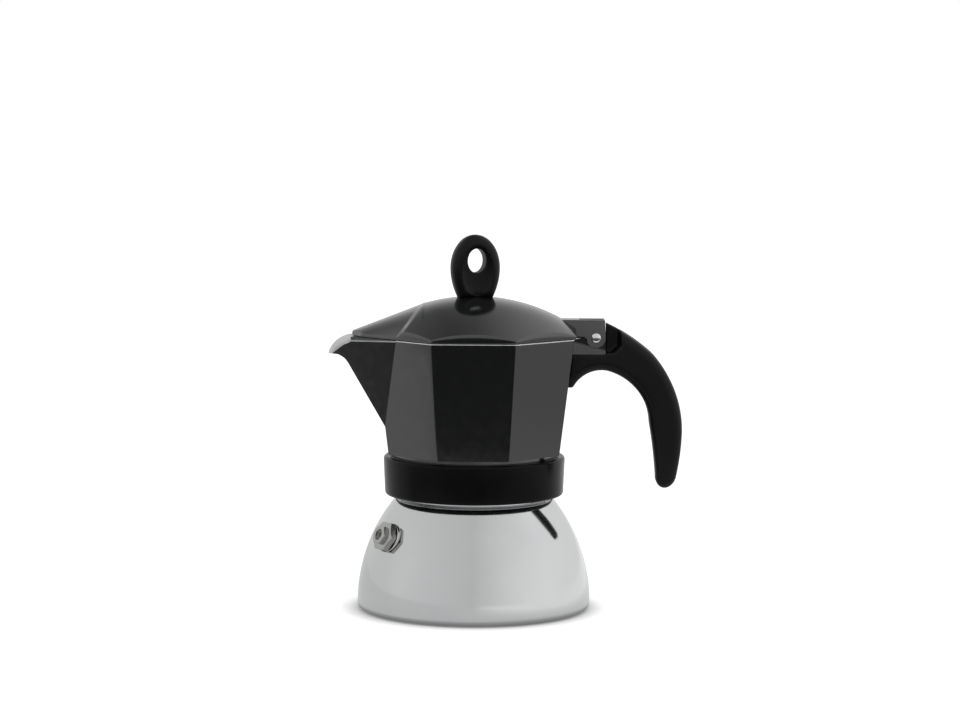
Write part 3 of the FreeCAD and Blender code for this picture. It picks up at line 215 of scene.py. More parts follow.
paper_level = add(paper_tree, "ShaderNodeMapRange", {
    "Value": paper_axes.outputs["X"], "From Min": 0.0, "From Max": 0.11,
    "To Min": 0.68, "To Max": 0.98})
paper_mirror = add(paper_tree, "ShaderNodeMix", {
    0: paper_low.outputs["Result"], 2: paper_steep.outputs[0], 3: paper_level.outputs["Result"]})
paper_painted_light = add(paper_tree, "ShaderNodeMath", {
    0: paper_mirror.outputs[0], 1: paper_painted_dusk.outputs["Result"]}, operation="MULTIPLY")
# Painted reflection: the pot mirrors only this emission of the paper, never its lit surface.
paper_painted_emission = add(paper_tree, "ShaderNodeEmission", {"Strength": paper_painted_light.outputs[0]})
paper_both = add(paper_tree, "ShaderNodeMixShader", {
    0: add(paper_tree, "ShaderNodeLightPath").outputs["Is Camera Ray"],
    1: paper_painted_emission.outputs["Emission"], 2: paper_shader.outputs["BSDF"]})
add(paper_tree, "ShaderNodeOutputMaterial", {
    "Surface": paper_both.outputs["Shader"]}, is_active_output=True)
PAPER_SIDE, PAPER_BACK, PAPER_FRONT = 3000, 3000, -700
floor = made("floor", [
    (-PAPER_SIDE, PAPER_FRONT, 0), (PAPER_SIDE, PAPER_FRONT, 0),
    (PAPER_SIDE, PAPER_BACK, 0), (-PAPER_SIDE, PAPER_BACK, 0)], [(0, 1, 2, 3)], paper)

# Boiler: one drawn and polished stainless steel shell, a wide base that draws in along one arc to
# a flat shoulder and a neck. A flat boss on its left front takes the valve.
BASE, BASE_ROUND = 51.0, 3.0
SHOULDER, SHOULDER_Z = 34.5, 48.7
NECK, NECK_TOP, BORE = 31.6, 62.5, 28.2
SHELL_WALL, FLOOR_Z = 1.2, 2.6
DISC_EDGE, DISC_LET_IN = 44.1, 1.4


def rounded(corners, ring=False, steps=6):
    """A line through (x, z, radius) corners, each rounded by an arc of that radius."""
    line = []
    for index, (x, z, radius) in enumerate(corners):
        here = Vector((x, z))
        if radius == 0 or (not ring and index in (0, len(corners) - 1)):
            line.append(here)
            continue
        back = (Vector(corners[index - 1][:2]) - here).normalized()
        on = (Vector(corners[(index + 1) % len(corners)][:2]) - here).normalized()
        half = back.angle(on) / 2
        middle = here + (back + on).normalized() * (radius / math.sin(half))
        first = here + back * (radius / math.tan(half)) - middle
        last = here + on * (radius / math.tan(half)) - middle
        for step in range(steps + 1):
            line.append(middle + first.slerp(last, step / steps) * radius)
    return line


def skin(rings, loop=False):
    """Points and faces of a skin over closed rings of points; loop joins the last to the first."""
    count = len(rings[0])
    points = [point for ring in rings for point in ring]
    faces = []
    for here in range(len(rings) if loop else len(rings) - 1):
        there = (here + 1) % len(rings)
        for i in range(count):
            j = (i + 1) % count
            faces.append((here * count + i, here * count + j, there * count + j, there * count + i))
    return points, faces


def turned(line, count=120):
    """The rings of a line of (radius, height) turned round the pot's axis."""
    angles = [2 * math.pi * i / count for i in range(count)]
    return [[(r * math.cos(a), r * math.sin(a), z) for a in angles] for r, z in line]


def together(*skins):
    """Several skins as one list of points and one of faces."""
    points, faces = [], []
    for more_points, more_faces in skins:
        faces += [tuple(index + len(points) for index in face) for face in more_faces]
        points += more_points
    return points, faces


dome_chord = math.hypot(BASE - SHOULDER, SHOULDER_Z - BASE_ROUND)
DOME = dome_chord ** 2 / (2 * (BASE - SHOULDER))


def dome_line(outset, low, high, count):
    """Points (r, z, 0) up the boiler's arc, outset from it."""
    line = []
    for i in range(count + 1):
        angle = low + (high - low) * i / count
        line.append((BASE - DOME + (DOME + outset) * math.cos(angle),
                     BASE_ROUND + (DOME + outset) * math.sin(angle), 0))
    return line


steel, steel_tree, steel_shader, steel_place = surface("stainless_steel_polished", {"Metallic": 1.0})
# Mirror polish on a lathe: hair-fine rings round the pot, and faint cloudy differences in gloss.
steel_rings = add(steel_tree, "ShaderNodeTexNoise", {
    "Vector": add(steel_tree, "ShaderNodeMapping", {
        "Vector": steel_place, "Scale": (30.0, 30.0, 2600.0)}).outputs["Vector"],
    "Scale": 1.0, "Detail": 4.0, "Roughness": 0.6})
steel_cloud = add(steel_tree, "ShaderNodeTexNoise", {"Vector": steel_place, "Scale": 45.0, "Detail": 3.0})
steel_tone = add(steel_tree, "ShaderNodeMix", {
    0: steel_cloud.outputs["Fac"], 6: colour("#cbcccd"), 7: colour("#d6d7d7")}, data_type="RGBA")
steel_gloss = add(steel_tree, "ShaderNodeMapRange", {
    "Value": steel_rings.outputs["Fac"], "From Min": 0.3, "From Max": 0.7,
    "To Min": 0.07, "To Max": 0.13})
steel_bump = add(steel_tree, "ShaderNodeBump", {
    "Height": steel_rings.outputs["Fac"], "Strength": 0.05, "Distance": 0.00002})
feed(steel_shader, {
    "Base Color": steel_tone.outputs[2], "Roughness": steel_gloss.outputs["Result"],
    "Normal": steel_bump.outputs["Normal"]})

dome_end = math.asin((SHOULDER_Z - BASE_ROUND) / DOME)
base_flat = BASE - BASE_ROUND
base_arc = []
for i in range(1, 8):
    angle = i * math.pi / 16
    base_arc.append((
        base_flat + BASE_ROUND * math.sin(angle), BASE_ROUND - BASE_ROUND * math.cos(angle), 0))
boiler_line = rounded([
    (0, DISC_LET_IN, 0), (DISC_EDGE, DISC_LET_IN, 0.2), (DISC_EDGE, 0, 0.3), (base_flat, 0, 0), *base_arc,
    *dome_line(0, 0, dome_end - 0.022, 90),
    (SHOULDER, SHOULDER_Z, 1.4), (NECK, SHOULDER_Z, 0.5), (NECK, NECK_TOP, 0.6), (BORE, NECK_TOP, 0.6),
    (BORE, SHOULDER_Z - SHELL_WALL, 0.5),
    *dome_line(-SHELL_WALL, dome_end - 0.005, 0, 40),
    (base_flat, FLOOR_Z, 0), (0, FLOOR_Z, 0)])
valve_azimuth = math.radians(214.4)
valve_tilt = math.radians(20.8)
BOSS_FACE = (-36.46, -24.96, 34.39)
at_valve = Matrix.Translation(BOSS_FACE) @ (
    Matrix.Rotation(valve_azimuth, 4, "Z") @ Matrix.Rotation(math.pi / 2 - valve_tilt, 4, "Y"))


def on_valve(rings):
    """Rings drawn along Z from the boss's face, set on the boiler's wall."""
    return [[at_valve @ Vector(point) for point in ring] for ring in rings]


boss_line = rounded([(4.4, -3.2, 0), (6.5, -3.2, 0.2), (6.5, 0, 0.4), (4.4, 0, 0.3)], ring=True)
boiler = made("boiler_shell_polished", *together(
    skin(turned(boiler_line, 180)), skin(on_valve(turned(boss_line, 72)), loop=True)), steel)

# Thread on the neck: two turns rolled from the same steel, a ridge that follows a screw line. The
# jug's skirt screws down over it.


def tree_of(name, sizes):
    """A geometry tree with number inputs of these names, a material input and a mesh output."""
    tree = bpy.data.node_groups.new(name, "GeometryNodeTree")
    for size in sizes:
        tree.interface.new_socket(size, in_out="INPUT", socket_type="NodeSocketFloat")
    tree.interface.new_socket("Material", in_out="INPUT", socket_type="NodeSocketMaterial")
    tree.interface.new_socket("Geometry", in_out="OUTPUT", socket_type="NodeSocketGeometry")
    return tree, add(tree, "NodeGroupInput").outputs


def grown(name, tree, values):
    """A plain mesh object of what a geometry tree makes from these values."""
    holder = bpy.data.objects.new(name, bpy.data.meshes.new(name + "_start"))
    bpy.context.scene.collection.objects.link(holder)
    modifier = holder.modifiers.new("grow", "NODES")
    modifier.node_group = tree
    for item in tree.interface.items_tree:
        if item.in_out == "INPUT":
            modifier[item.identifier] = values[item.name]
    bpy.context.view_layer.update()
    whole = holder.evaluated_get(bpy.context.evaluated_depsgraph_get())
    mesh = bpy.data.meshes.new_from_object(whole)
    holder.modifiers.remove(modifier)
    holder.data = mesh
    mesh.shade_smooth()
    mesh.set_sharp_from_angle(angle=math.radians(32))
    return holder


thread_tree, size = tree_of("screw_thread", [
    "Radius", "Pitch", "Turns", "Depth", "Root", "Crest", "Foot"])
thread_rise = add(thread_tree, "ShaderNodeMath", {
    0: size["Pitch"], 1: size["Turns"]}, operation="MULTIPLY")
thread_path = add(thread_tree, "GeometryNodeCurveSpiral", {
    "Resolution": 120, "Rotations": size["Turns"], "Start Radius": size["Radius"],
    "End Radius": size["Radius"], "Height": thread_rise.outputs[0]})
thread_upright = add(thread_tree, "GeometryNodeSetCurveNormal", {
    "Curve": thread_path.outputs["Curve"]}, mode="Z_UP")
thread_ridge = add(thread_tree, "GeometryNodeCurvePrimitiveQuadrilateral", {
    "Height": size["Depth"], "Bottom Width": size["Root"], "Top Width": size["Crest"], "Offset": 0.0},
    mode="TRAPEZOID")
thread_aside = add(thread_tree, "GeometryNodeTransform", {
    "Geometry": thread_ridge.outputs["Curve"], "Rotation": (0.0, 0.0, math.pi / 2)})
thread_sweep = add(thread_tree, "GeometryNodeCurveToMesh", {
    "Curve": thread_upright.outputs["Curve"], "Profile Curve": thread_aside.outputs["Geometry"],
    "Fill Caps": True})
thread_lift = add(thread_tree, "ShaderNodeCombineXYZ", {"Z": size["Foot"]})
thread_place = add(thread_tree, "GeometryNodeTransform", {
    "Geometry": thread_sweep.outputs["Mesh"], "Translation": thread_lift.outputs["Vector"]})
thread_real = add(thread_tree, "GeometryNodeRealizeInstances", {
    "Geometry": thread_place.outputs["Geometry"]})
thread_done = add(thread_tree, "GeometryNodeSetMaterial", {
    "Geometry": thread_real.outputs["Geometry"], "Material": size["Material"]})
add(thread_tree, "NodeGroupOutput", {"Geometry": thread_done.outputs["Geometry"]})
neck_thread = grown("neck_thread", thread_tree, {
    "Radius": 0.0321, "Pitch": 0.004, "Turns": 2.0, "Depth": 0.0014, "Root": 0.0026, "Crest": 0.001,
    "Foot": 0.0512, "Material": steel})
for part in (boiler, neck_thread):
    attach(part, "boiler")
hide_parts("boiler_shell")

# Heat disc: a round plate of magnetic steel, pressed into the boiler's underside and brushed in
# rings, by which an induction hob heats the pot.


def dress(node, material):
    """Gives a node of the frame this finish, and smooth shading across its joined faces."""
    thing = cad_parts[node]
    if not thing.material_slots:
        thing.data.materials.append(material)
    for slot in thing.material_slots:
        slot.material = material
    thing.data.shade_smooth()
    weld = thing.modifiers.new("weld", "WELD")
    weld.merge_threshold = 1e-6
    split = thing.modifiers.new("edges", "EDGE_SPLIT")
    split.split_angle = math.radians(30)


brushed, brushed_tree, brushed_shader, brushed_place = surface("magnetic_steel_brushed", {
    "Metallic": 1.0})
# Ring-brushed steel: streaks round the axis, from a noise read by distance from it.
brushed_radius = add(brushed_tree, "ShaderNodeVectorMath", {
    0: add(brushed_tree, "ShaderNodeMapping", {
        "Vector": brushed_place, "Scale": (1.0, 1.0, 0.0)}).outputs["Vector"]}, operation="LENGTH")
brushed_rings = add(brushed_tree, "ShaderNodeTexNoise", {
    "W": brushed_radius.outputs["Value"], "Scale": 2200.0, "Detail": 4.0}, noise_dimensions="1D")
brushed_tone = add(brushed_tree, "ShaderNodeMix", {
    0: brushed_rings.outputs["Fac"], 6: colour("#a9aaab"), 7: colour("#c2c3c4")}, data_type="RGBA")
brushed_gloss = add(brushed_tree, "ShaderNodeMapRange", {
    "Value": brushed_rings.outputs["Fac"], "To Min": 0.26, "To Max": 0.4})
brushed_bump = add(brushed_tree, "ShaderNodeBump", {
    "Height": brushed_rings.outputs["Fac"], "Strength": 0.2, "Distance": 0.00004})
feed(brushed_shader, {
    "Base Color": brushed_tone.outputs[2], "Roughness": brushed_gloss.outputs["Result"],
    "Normal": brushed_bump.outputs["Normal"]})
dress("induction_disc", brushed)

# Safety valve: a hexagonal brass body on a sealing washer, with a small hexagonal cap screwed into
# it, all nickel plated. A nut holds it inside, and a plunger on a spring stands in the cap's mouth.


def hexagonal(line, across, chamfer, count=96):
    """Rings round Z; a line's point with radius None follows the hexagon, cut by a cone at the top."""
    angles = [2 * math.pi * i / count for i in range(count)]
    rings = []
    for radius, height in line:
        ring = []
        for angle in angles:
            reach, z = radius, height
            if radius is None:
                reach = across / 2 / math.cos((angle + math.pi / 6) % (math.pi / 3) - math.pi / 6)
                if height > 0.8:
                    z -= max(0.0, reach - chamfer) * math.tan(math.radians(30))
            ring.append((reach * math.cos(angle), reach * math.sin(angle), z))
        rings.append(ring)
    return rings


plated, plated_tree, plated_shader, plated_place = surface("nickel_plated_brass_satin", {"Metallic": 1.0})
# Nickel plate over turned brass: fine tumbling grain, a slightly warm grey, duller in the grain.
plated_grain = add(plated_tree, "ShaderNodeTexNoise", {
    "Vector": plated_place, "Scale": 1500.0, "Detail": 4.0})
plated_tone = add(plated_tree, "ShaderNodeMix", {
    0: plated_grain.outputs["Fac"], 6: colour("#a5a5a3"), 7: colour("#bfbfbd")}, data_type="RGBA")
plated_gloss = add(plated_tree, "ShaderNodeMapRange", {
    "Value": plated_grain.outputs["Fac"], "To Min": 0.16, "To Max": 0.32})
plated_bump = add(plated_tree, "ShaderNodeBump", {
    "Height": plated_grain.outputs["Fac"], "Strength": 0.15, "Distance": 0.00005})
feed(plated_shader, {
    "Base Color": plated_tone.outputs[2], "Roughness": plated_gloss.outputs["Result"],
    "Normal": plated_bump.outputs["Normal"]})

valve_body = made("valve_body_plated", *skin(on_valve(hexagonal([
    (2.95, -6.2), (3.9, -8.0), (4.15, -7.7), (4.15, 0.72), (None, 0.72), (None, 3.6), (5.75, 3.6),
    (2.95, 3.6),
], 12.0, 5.8)), loop=True), plated)
valve_cap = made("valve_cap_plated", *skin(on_valve(hexagonal([
    (0, 4.25), (2.3, 4.25), (2.3, 5.4), (2.5, 5.6), (3.7, 5.6), (None, 5.6), (None, 3.6), (2.8, 3.6),
    (2.8, 2.4), (0, 2.4),
], 7.8, 3.75))), plated)
for part, node in ((valve_body, "valve_body"), (valve_cap, "valve_cap")):
    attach(part, "boiler")
    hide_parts(node)
dress("valve_nut", plated)

fibre, fibre_tree, fibre_shader, fibre_place = surface("black_fibre_matte", {
    "Roughness": 0.75, "Specular IOR Level": 0.25})
# Pressed black fibre of the valve's sealing washer: matt, with a faint mottle.
fibre_mottle = add(fibre_tree, "ShaderNodeTexNoise", {
    "Vector": fibre_place, "Scale": 1400.0, "Detail": 3.0})
fibre_tone = add(fibre_tree, "ShaderNodeMix", {
    0: fibre_mottle.outputs["Fac"], 6: colour("#101010"), 7: colour("#242322")}, data_type="RGBA")
feed(fibre_shader, {"Base Color": fibre_tone.outputs[2]})
dress("valve_washer", fibre)

spring, spring_tree, spring_shader, spring_place = surface("spring_steel_drawn", {"Metallic": 1.0})
# Drawn steel wire and zinc-plated screws: grey, with fine draw marks and patchy dullness.
spring_grain = add(spring_tree, "ShaderNodeTexNoise", {
    "Vector": spring_place, "Scale": 2400.0, "Detail": 3.0})
spring_tone = add(spring_tree, "ShaderNodeMix", {
    0: spring_grain.outputs["Fac"], 6: colour("#8f9092"), 7: colour("#b0b1b2")}, data_type="RGBA")
spring_gloss = add(spring_tree, "ShaderNodeMapRange", {
    "Value": spring_grain.outputs["Fac"], "To Min": 0.22, "To Max": 0.38})
feed(spring_shader, {"Base Color": spring_tone.outputs[2], "Roughness": spring_gloss.outputs["Result"]})


def copied(node, name, *materials):
    """A copy of a node's mesh with its loose triangles joined, as an object of its own."""
    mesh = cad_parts[node].data.copy()
    mesh.name = name
    work = bmesh.new()
    work.from_mesh(mesh)
    bmesh.ops.remove_doubles(work, verts=work.verts, dist=1e-6)
    work.to_mesh(mesh)
    work.free()
    mesh.materials.clear()
    for material in materials:
        mesh.materials.append(material)
    thing = bpy.data.objects.new(name, mesh)
    bpy.context.scene.collection.objects.link(thing)
    return thing


# The spring: the frame's coil copied, smooth shaded, with its placement baked into its points.
valve_coil = copied("valve_spring", "valve_spring_drawn", spring)
valve_coil.data.shade_smooth()
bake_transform(valve_coil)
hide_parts("valve_spring")

brass, brass_tree, brass_shader, brass_place = surface("brass_tarnished", {"Metallic": 1.0})
# Bare brass that steam has darkened: brown-grey, blotchy, with dull roughness in the dark places.
brass_blotch = add(brass_tree, "ShaderNodeTexNoise", {
    "Vector": brass_place, "Scale": 900.0, "Detail": 4.0})
brass_tone = add(brass_tree, "ShaderNodeMix", {
    0: brass_blotch.outputs["Fac"], 6: colour("#4a4741"), 7: colour("#726d63")}, data_type="RGBA")
brass_gloss = add(brass_tree, "ShaderNodeMapRange", {
    "Value": brass_blotch.outputs["Fac"], "To Min": 0.45, "To Max": 0.3})
feed(brass_shader, {"Base Color": brass_tone.outputs[2], "Roughness": brass_gloss.outputs["Result"]})
dress("valve_plunger", brass)

# Coffee funnel, sieve and filter plate: pressed aluminium sheet, loose in the neck, with a
# silicone gasket round the plate. All of them are hidden until the jug is unscrewed.
aluminium, alu_tree, alu_shader, alu_place = surface("aluminium_bare_satin", {"Metallic": 1.0})
# Bare aluminium with a soft, milky satin from casting and washing: cloudy tone, fine grain.
alu_cloud = add(alu_tree, "ShaderNodeTexNoise", {"Vector": alu_place, "Scale": 120.0, "Detail": 5.0})
alu_grain = add(alu_tree, "ShaderNodeTexNoise", {"Vector": alu_place, "Scale": 2600.0, "Detail": 2.0})
alu_tone = add(alu_tree, "ShaderNodeMix", {
    0: alu_cloud.outputs["Fac"], 6: colour("#cdced0"), 7: colour("#dfe0e1")}, data_type="RGBA")
alu_gloss = add(alu_tree, "ShaderNodeMapRange", {
    "Value": alu_cloud.outputs["Fac"], "To Min": 0.24, "To Max": 0.4})
alu_bump = add(alu_tree, "ShaderNodeBump", {
    "Height": alu_grain.outputs["Fac"], "Strength": 0.15, "Distance": 0.00005})
feed(alu_shader, {
    "Base Color": alu_tone.outputs[2], "Roughness": alu_gloss.outputs["Result"],
    "Normal": alu_bump.outputs["Normal"]})
for node in ("funnel", "funnel_sieve", "filter_plate"):
    dress(node, aluminium)

rubber, rubber_tree, rubber_shader, rubber_place = surface("white_silicone_rubber_matte", {
    "Roughness": 0.62, "Specular IOR Level": 0.4})
# Food-grade silicone: milky, with a fine moulded matt grain and faint cloudy tone.
rubber_grain = add(rubber_tree, "ShaderNodeTexNoise", {
    "Vector": rubber_place, "Scale": 1800.0, "Detail": 3.0})
rubber_tone = add(rubber_tree, "ShaderNodeMix", {
    0: rubber_grain.outputs["Fac"], 6: colour("#d8d6cf"), 7: colour("#e6e4de")}, data_type="RGBA")
rubber_bump = add(rubber_tree, "ShaderNodeBump", {
    "Height": rubber_grain.outputs["Fac"], "Strength": 0.2, "Distance": 0.00008})
feed(rubber_shader, {"Base Color": rubber_tone.outputs[2], "Normal": rubber_bump.outputs["Normal"]})
dress("gasket", rubber)

# Jug: one aluminium casting of eight leaning facets with a spout, a lug and a threaded skirt.
# It is lacquered dark grey outside; the inside, the rim and the lip of the spout are bare metal.
coating, coat_tree, coat_shader, coat_place = surface("aluminium_dark_grey_lacquer", {"IOR": 1.9})
# Smooth dark lacquer with fine metal flake and a trace of orange peel. Object coordinates find the
# bare lip: everything left of and above a curve on the spout's sides, and a thin line at the rim
# that stops short of the spout, where the rim keeps the dark lacquer as painted shade under the lid's
# nose.
coat_axes = add(coat_tree, "ShaderNodeSeparateXYZ", {"Vector": coat_place})
coat_flake = add(coat_tree, "ShaderNodeTexNoise", {"Vector": coat_place, "Scale": 3200.0, "Detail": 2.0})
coat_peel = add(coat_tree, "ShaderNodeTexNoise", {"Vector": coat_place, "Scale": 260.0, "Detail": 2.0})
coat_dark = add(coat_tree, "ShaderNodeMix", {
    0: coat_flake.outputs["Fac"], 6: colour("#0f1011"), 7: colour("#191a1c")}, data_type="RGBA")
lip_along = add(coat_tree, "ShaderNodeMapRange", {
    "Value": coat_axes.outputs["X"], "From Min": -0.064, "From Max": -0.052,
    "To Min": 0.0, "To Max": 1.0})
lip_edge = add(coat_tree, "ShaderNodeFloatCurve", {"Value": lip_along.outputs["Result"]})
lip_curve = lip_edge.mapping.curves[0]
for along, height in ((0.183, 0.2), (0.375, 0.39), (0.5, 0.51), (0.617, 0.61), (0.84, 0.74)):
    lip_curve.points.new(along, height)
lip_curve.points[0].location = (0.0, 0.0)
lip_curve.points[-1].location = (1.0, 0.92)
lip_edge.mapping.update()
lip_level = add(coat_tree, "ShaderNodeMapRange", {
    "Value": lip_edge.outputs["Value"], "To Min": 0.1104, "To Max": 0.1204})
lip_above = add(coat_tree, "ShaderNodeMath", {
    0: coat_axes.outputs["Z"], 1: lip_level.outputs["Result"]}, operation="SUBTRACT")
lip_bare = add(coat_tree, "ShaderNodeMapRange", {
    "Value": lip_above.outputs[0], "From Min": -0.00012, "From Max": 0.00012})
rim_above = add(coat_tree, "ShaderNodeMath", {
    0: coat_axes.outputs["Z"], 1: 0.11945}, operation="GREATER_THAN")
rim_below = add(coat_tree, "ShaderNodeMath", {
    0: coat_axes.outputs["Z"], 1: 0.1201}, operation="LESS_THAN")
# Painted shade: the rim's bare line runs only from X -33.4 mm to 43.4 mm, so over the spout the rim stays
# dark.
rim_left = add(coat_tree, "ShaderNodeMath", {
    0: coat_axes.outputs["X"], 1: 0.005, 2: 0.0384}, operation="COMPARE")
rim_band = add(coat_tree, "ShaderNodeMath", {
    0: rim_above.outputs[0], 1: rim_below.outputs[0]}, operation="MULTIPLY")
rim_bare = add(coat_tree, "ShaderNodeMath", {
    0: rim_band.outputs[0], 1: rim_left.outputs[0]}, operation="MULTIPLY")
lip_part = add(coat_tree, "ShaderNodeMath", {
    0: coat_axes.outputs["X"], 1: -0.0538}, operation="LESS_THAN")
lip_shown = add(coat_tree, "ShaderNodeMath", {
    0: lip_bare.outputs["Result"], 1: lip_part.outputs[0]}, operation="MULTIPLY")
bare = add(coat_tree, "ShaderNodeMath", {
    0: lip_shown.outputs[0], 1: rim_bare.outputs[0]}, operation="MAXIMUM")
coat_tone = add(coat_tree, "ShaderNodeMix", {
    0: bare.outputs[0], 6: coat_dark.outputs[2], 7: colour("#f8f8f8")}, data_type="RGBA")
coat_gloss = add(coat_tree, "ShaderNodeMapRange", {
    "Value": coat_peel.outputs["Fac"], "From Min": 0.3, "From Max": 0.7, "To Min": 0.1, "To Max": 0.16})
coat_rough = add(coat_tree, "ShaderNodeMix", {
    0: bare.outputs[0], 2: coat_gloss.outputs["Result"], 3: 0.5})
coat_bump = add(coat_tree, "ShaderNodeBump", {
    "Height": coat_peel.outputs["Fac"], "Strength": 0.03, "Distance": 0.0001})
coat_metal = add(coat_tree, "ShaderNodeMath", {0: bare.outputs[0], 1: 0.75}, operation="MULTIPLY")
feed(coat_shader, {
    "Base Color": coat_tone.outputs[2], "Metallic": coat_metal.outputs[0],
    "Roughness": coat_rough.outputs[0], "Normal": coat_bump.outputs["Normal"]})

BOWL_FLOOR, BOWL_HALF, BOWL_TOP, LUG_ROOT = 0.07, 0.042, 0.115, 0.0425
SKIRT_TOP, SKIRT_INSIDE = 0.0671, 0.0358
LUG_START, LUG_LOW, LUG_MIDDLE, LUG_LEAN = 0.042, 0.108, 0.112, 0.05
LUG_SIDE = (0.005, 0.0056)
BEAK_START = -0.0515
jug = copied("collector", "jug_lacquered", coating, aluminium)
jug_work = bmesh.new()
jug_work.from_mesh(jug.data)
for face in jug_work.faces:
    middle = face.calc_center_median()
    outward = Vector((middle.x, middle.y, 0)).normalized().dot(face.normal)
    inside = middle.z > BOWL_FLOOR and abs(middle.y) < BOWL_HALF and middle.x < LUG_ROOT and (
        outward < -0.1 or (face.normal.z > 0.5 and middle.z < BOWL_TOP))
    below = middle.z < SKIRT_TOP and math.hypot(middle.x, middle.y) < SKIRT_INSIDE
    face.material_index = 1 if inside or below else 0
    face.smooth = True
for vert in jug_work.verts:
    on_side = LUG_SIDE[0] < abs(vert.co.y) < LUG_SIDE[1]
    if vert.co.x > LUG_START and on_side and vert.co.z > LUG_LOW:
        vert.co.y -= math.copysign(LUG_LEAN * (vert.co.z - LUG_MIDDLE), vert.co.y)
for edge in jug_work.edges:
    on_beak = sum(vert.co.x for vert in edge.verts) / 2 < BEAK_START
    edge.smooth = edge.calc_face_angle(0.0) < math.radians(35 if on_beak else 10)
jug_work.to_mesh(jug.data)
jug_work.free()
jug_even = jug.modifiers.new("even", "WEIGHTED_NORMAL")
jug_even.keep_sharp = True
jug_even.weight = 80


def thick(points, faces, core, wall):
    """A closed shell of these outer faces, grown towards a core point by a wall."""
    inner = [Vector(p) + (Vector(core) - Vector(p)).normalized() * wall for p in points]
    count = len(points)
    edges = [(face[i], face[(i + 1) % len(face)]) for face in faces for i in range(len(face))]
    rims = [(a, b) for a, b in edges if (b, a) not in edges]
    shell = list(faces) + [tuple(i + count for i in reversed(face)) for face in faces]
    shell += [(b, a, a + count, b + count) for a, b in rims]
    return [Vector(p) for p in points] + inner, shell


# The spout's flat cheek, out to the beak's tip and down its keel, with a bare line along the rim.
cheek_rim = [(-33.15, -27.7, 119.2), (-52.2, -11.77, 118.05), (-53.4, -10.78, 118.0)]
cheek_line = [(-33.2, -27.8, 119.78), (-52.3, -11.8, 118.65), (-53.68, -10.66, 118.6)]
cheek_lip = [
    (-55.7, -8.77, 117.46), (-58.06, -6.47, 115.64), (-60.1, -4.47, 114.01), (-61.97, -2.62, 112.44)]
cheek_keel = [
    (-60.46, -3.81, 112.15), (-58.78, -5.11, 111.7), (-57.44, -6.07, 110.96), (-56.11, -6.95, 109.87),
    (-54.79, -7.71, 108.19), (-53.81, -8.2, 106.54), (-52.82, -8.7, 104.9), (-38.4, -16.0, 81.4)]
cheek_inner = [
    (-52.3, -8.6, 118.75), (-53.5, -7.6, 118.7), (-55.6, -5.3, 117.5), (-58.0, -2.85, 115.7),
    (-60.1, -1.1, 114.05), (-61.97, 0, 112.5)]
cheek_front = [(x - 0.45, 0, z - 0.25) for x, y, z in [cheek_lip[-1], *cheek_keel]]
cheek_points = cheek_rim + cheek_line + cheek_lip + cheek_keel + cheek_inner + cheek_front
cheek_faces = [
    (*range(0, 3), *range(6, 18)), (0, 3, 4, 1), (1, 4, 5, 2), (2, 5, 6), (3, 18, 4), (4, 18, 19, 5),
    (5, 19, 20, 6), (6, 20, 21, 7), (7, 21, 22, 8), (8, 22, 23, 9),
    *[(9 + i, 24 + i, 25 + i, 10 + i) for i in range(8)]]
CHEEK_WALL, CHEEK_BARE = 0.7, range(1, 10)
near_cheek = thick(cheek_points, cheek_faces, (-36, 0, 106), CHEEK_WALL)
far_cheek = [(x, -y, z) for x, y, z in near_cheek[0]], near_cheek[1]
cheeks = made("spout_cheeks_lacquered", *together(near_cheek, far_cheek), coating, aluminium)
for start in (0, len(near_cheek[1])):
    for index in CHEEK_BARE:
        cheeks.data.polygons[start + index].material_index = 1
for part in (jug, cheeks):
    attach(part, "collector")
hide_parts("collector")

# Riser: an aluminium tube pressed into the jug's floor, with two outlets below its closed top. The
# coffee comes up through it.
dress("brew_column", aluminium)

# Sleeve: a black moulded plastic ring, pressed over the jug's skirt, where a hand grips the pot to
# unscrew it. It widens a little to the top, and its edges are rounded.
gloss, gloss_tree, gloss_shader, gloss_place = surface("black_plastic_smooth", {
    "Specular IOR Level": 0.1})
# Nylon from a smooth mould: near black and glossy, with shallow flow ripples and fine rubbing marks.
gloss_ripple = add(gloss_tree, "ShaderNodeTexNoise", {
    "Vector": gloss_place, "Scale": 160.0, "Detail": 3.0})
gloss_rub = add(gloss_tree, "ShaderNodeTexNoise", {
    "Vector": gloss_place, "Scale": 2800.0, "Detail": 2.0})
gloss_tone = add(gloss_tree, "ShaderNodeMix", {
    0: gloss_rub.outputs["Fac"], 6: colour("#060607"), 7: colour("#0a0a0b")}, data_type="RGBA")
gloss_rough = add(gloss_tree, "ShaderNodeMapRange", {
    "Value": gloss_ripple.outputs["Fac"], "From Min": 0.3, "From Max": 0.7,
    "To Min": 0.2, "To Max": 0.28})
gloss_bump = add(gloss_tree, "ShaderNodeBump", {
    "Height": gloss_rub.outputs["Fac"], "Strength": 0.05, "Distance": 0.00005})
feed(gloss_shader, {
    "Base Color": gloss_tone.outputs[2], "Roughness": gloss_rough.outputs["Result"],
    "Normal": gloss_bump.outputs["Normal"]})
sleeve_line = rounded([
    (36.12, 50.45, 0.4), (39.0, 50.45, 1.4), (39.75, 67.5, 1.4), (36.12, 67.5, 0.3)], ring=True, steps=8)
sleeve = made("sleeve_black", *skin(turned(sleeve_line, 160), loop=True), gloss)
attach(sleeve, "collector")
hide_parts("collar_sleeve")

# Handle: one black moulding that hangs from its nose behind the hinge and arches down to a free
# tip. A screw through the lug holds it. Its edges are softened all round, as a moulding's are.
plastic, plastic_tree, plastic_shader, plastic_place = surface("black_plastic_satin", {
    "Specular IOR Level": 0.22})
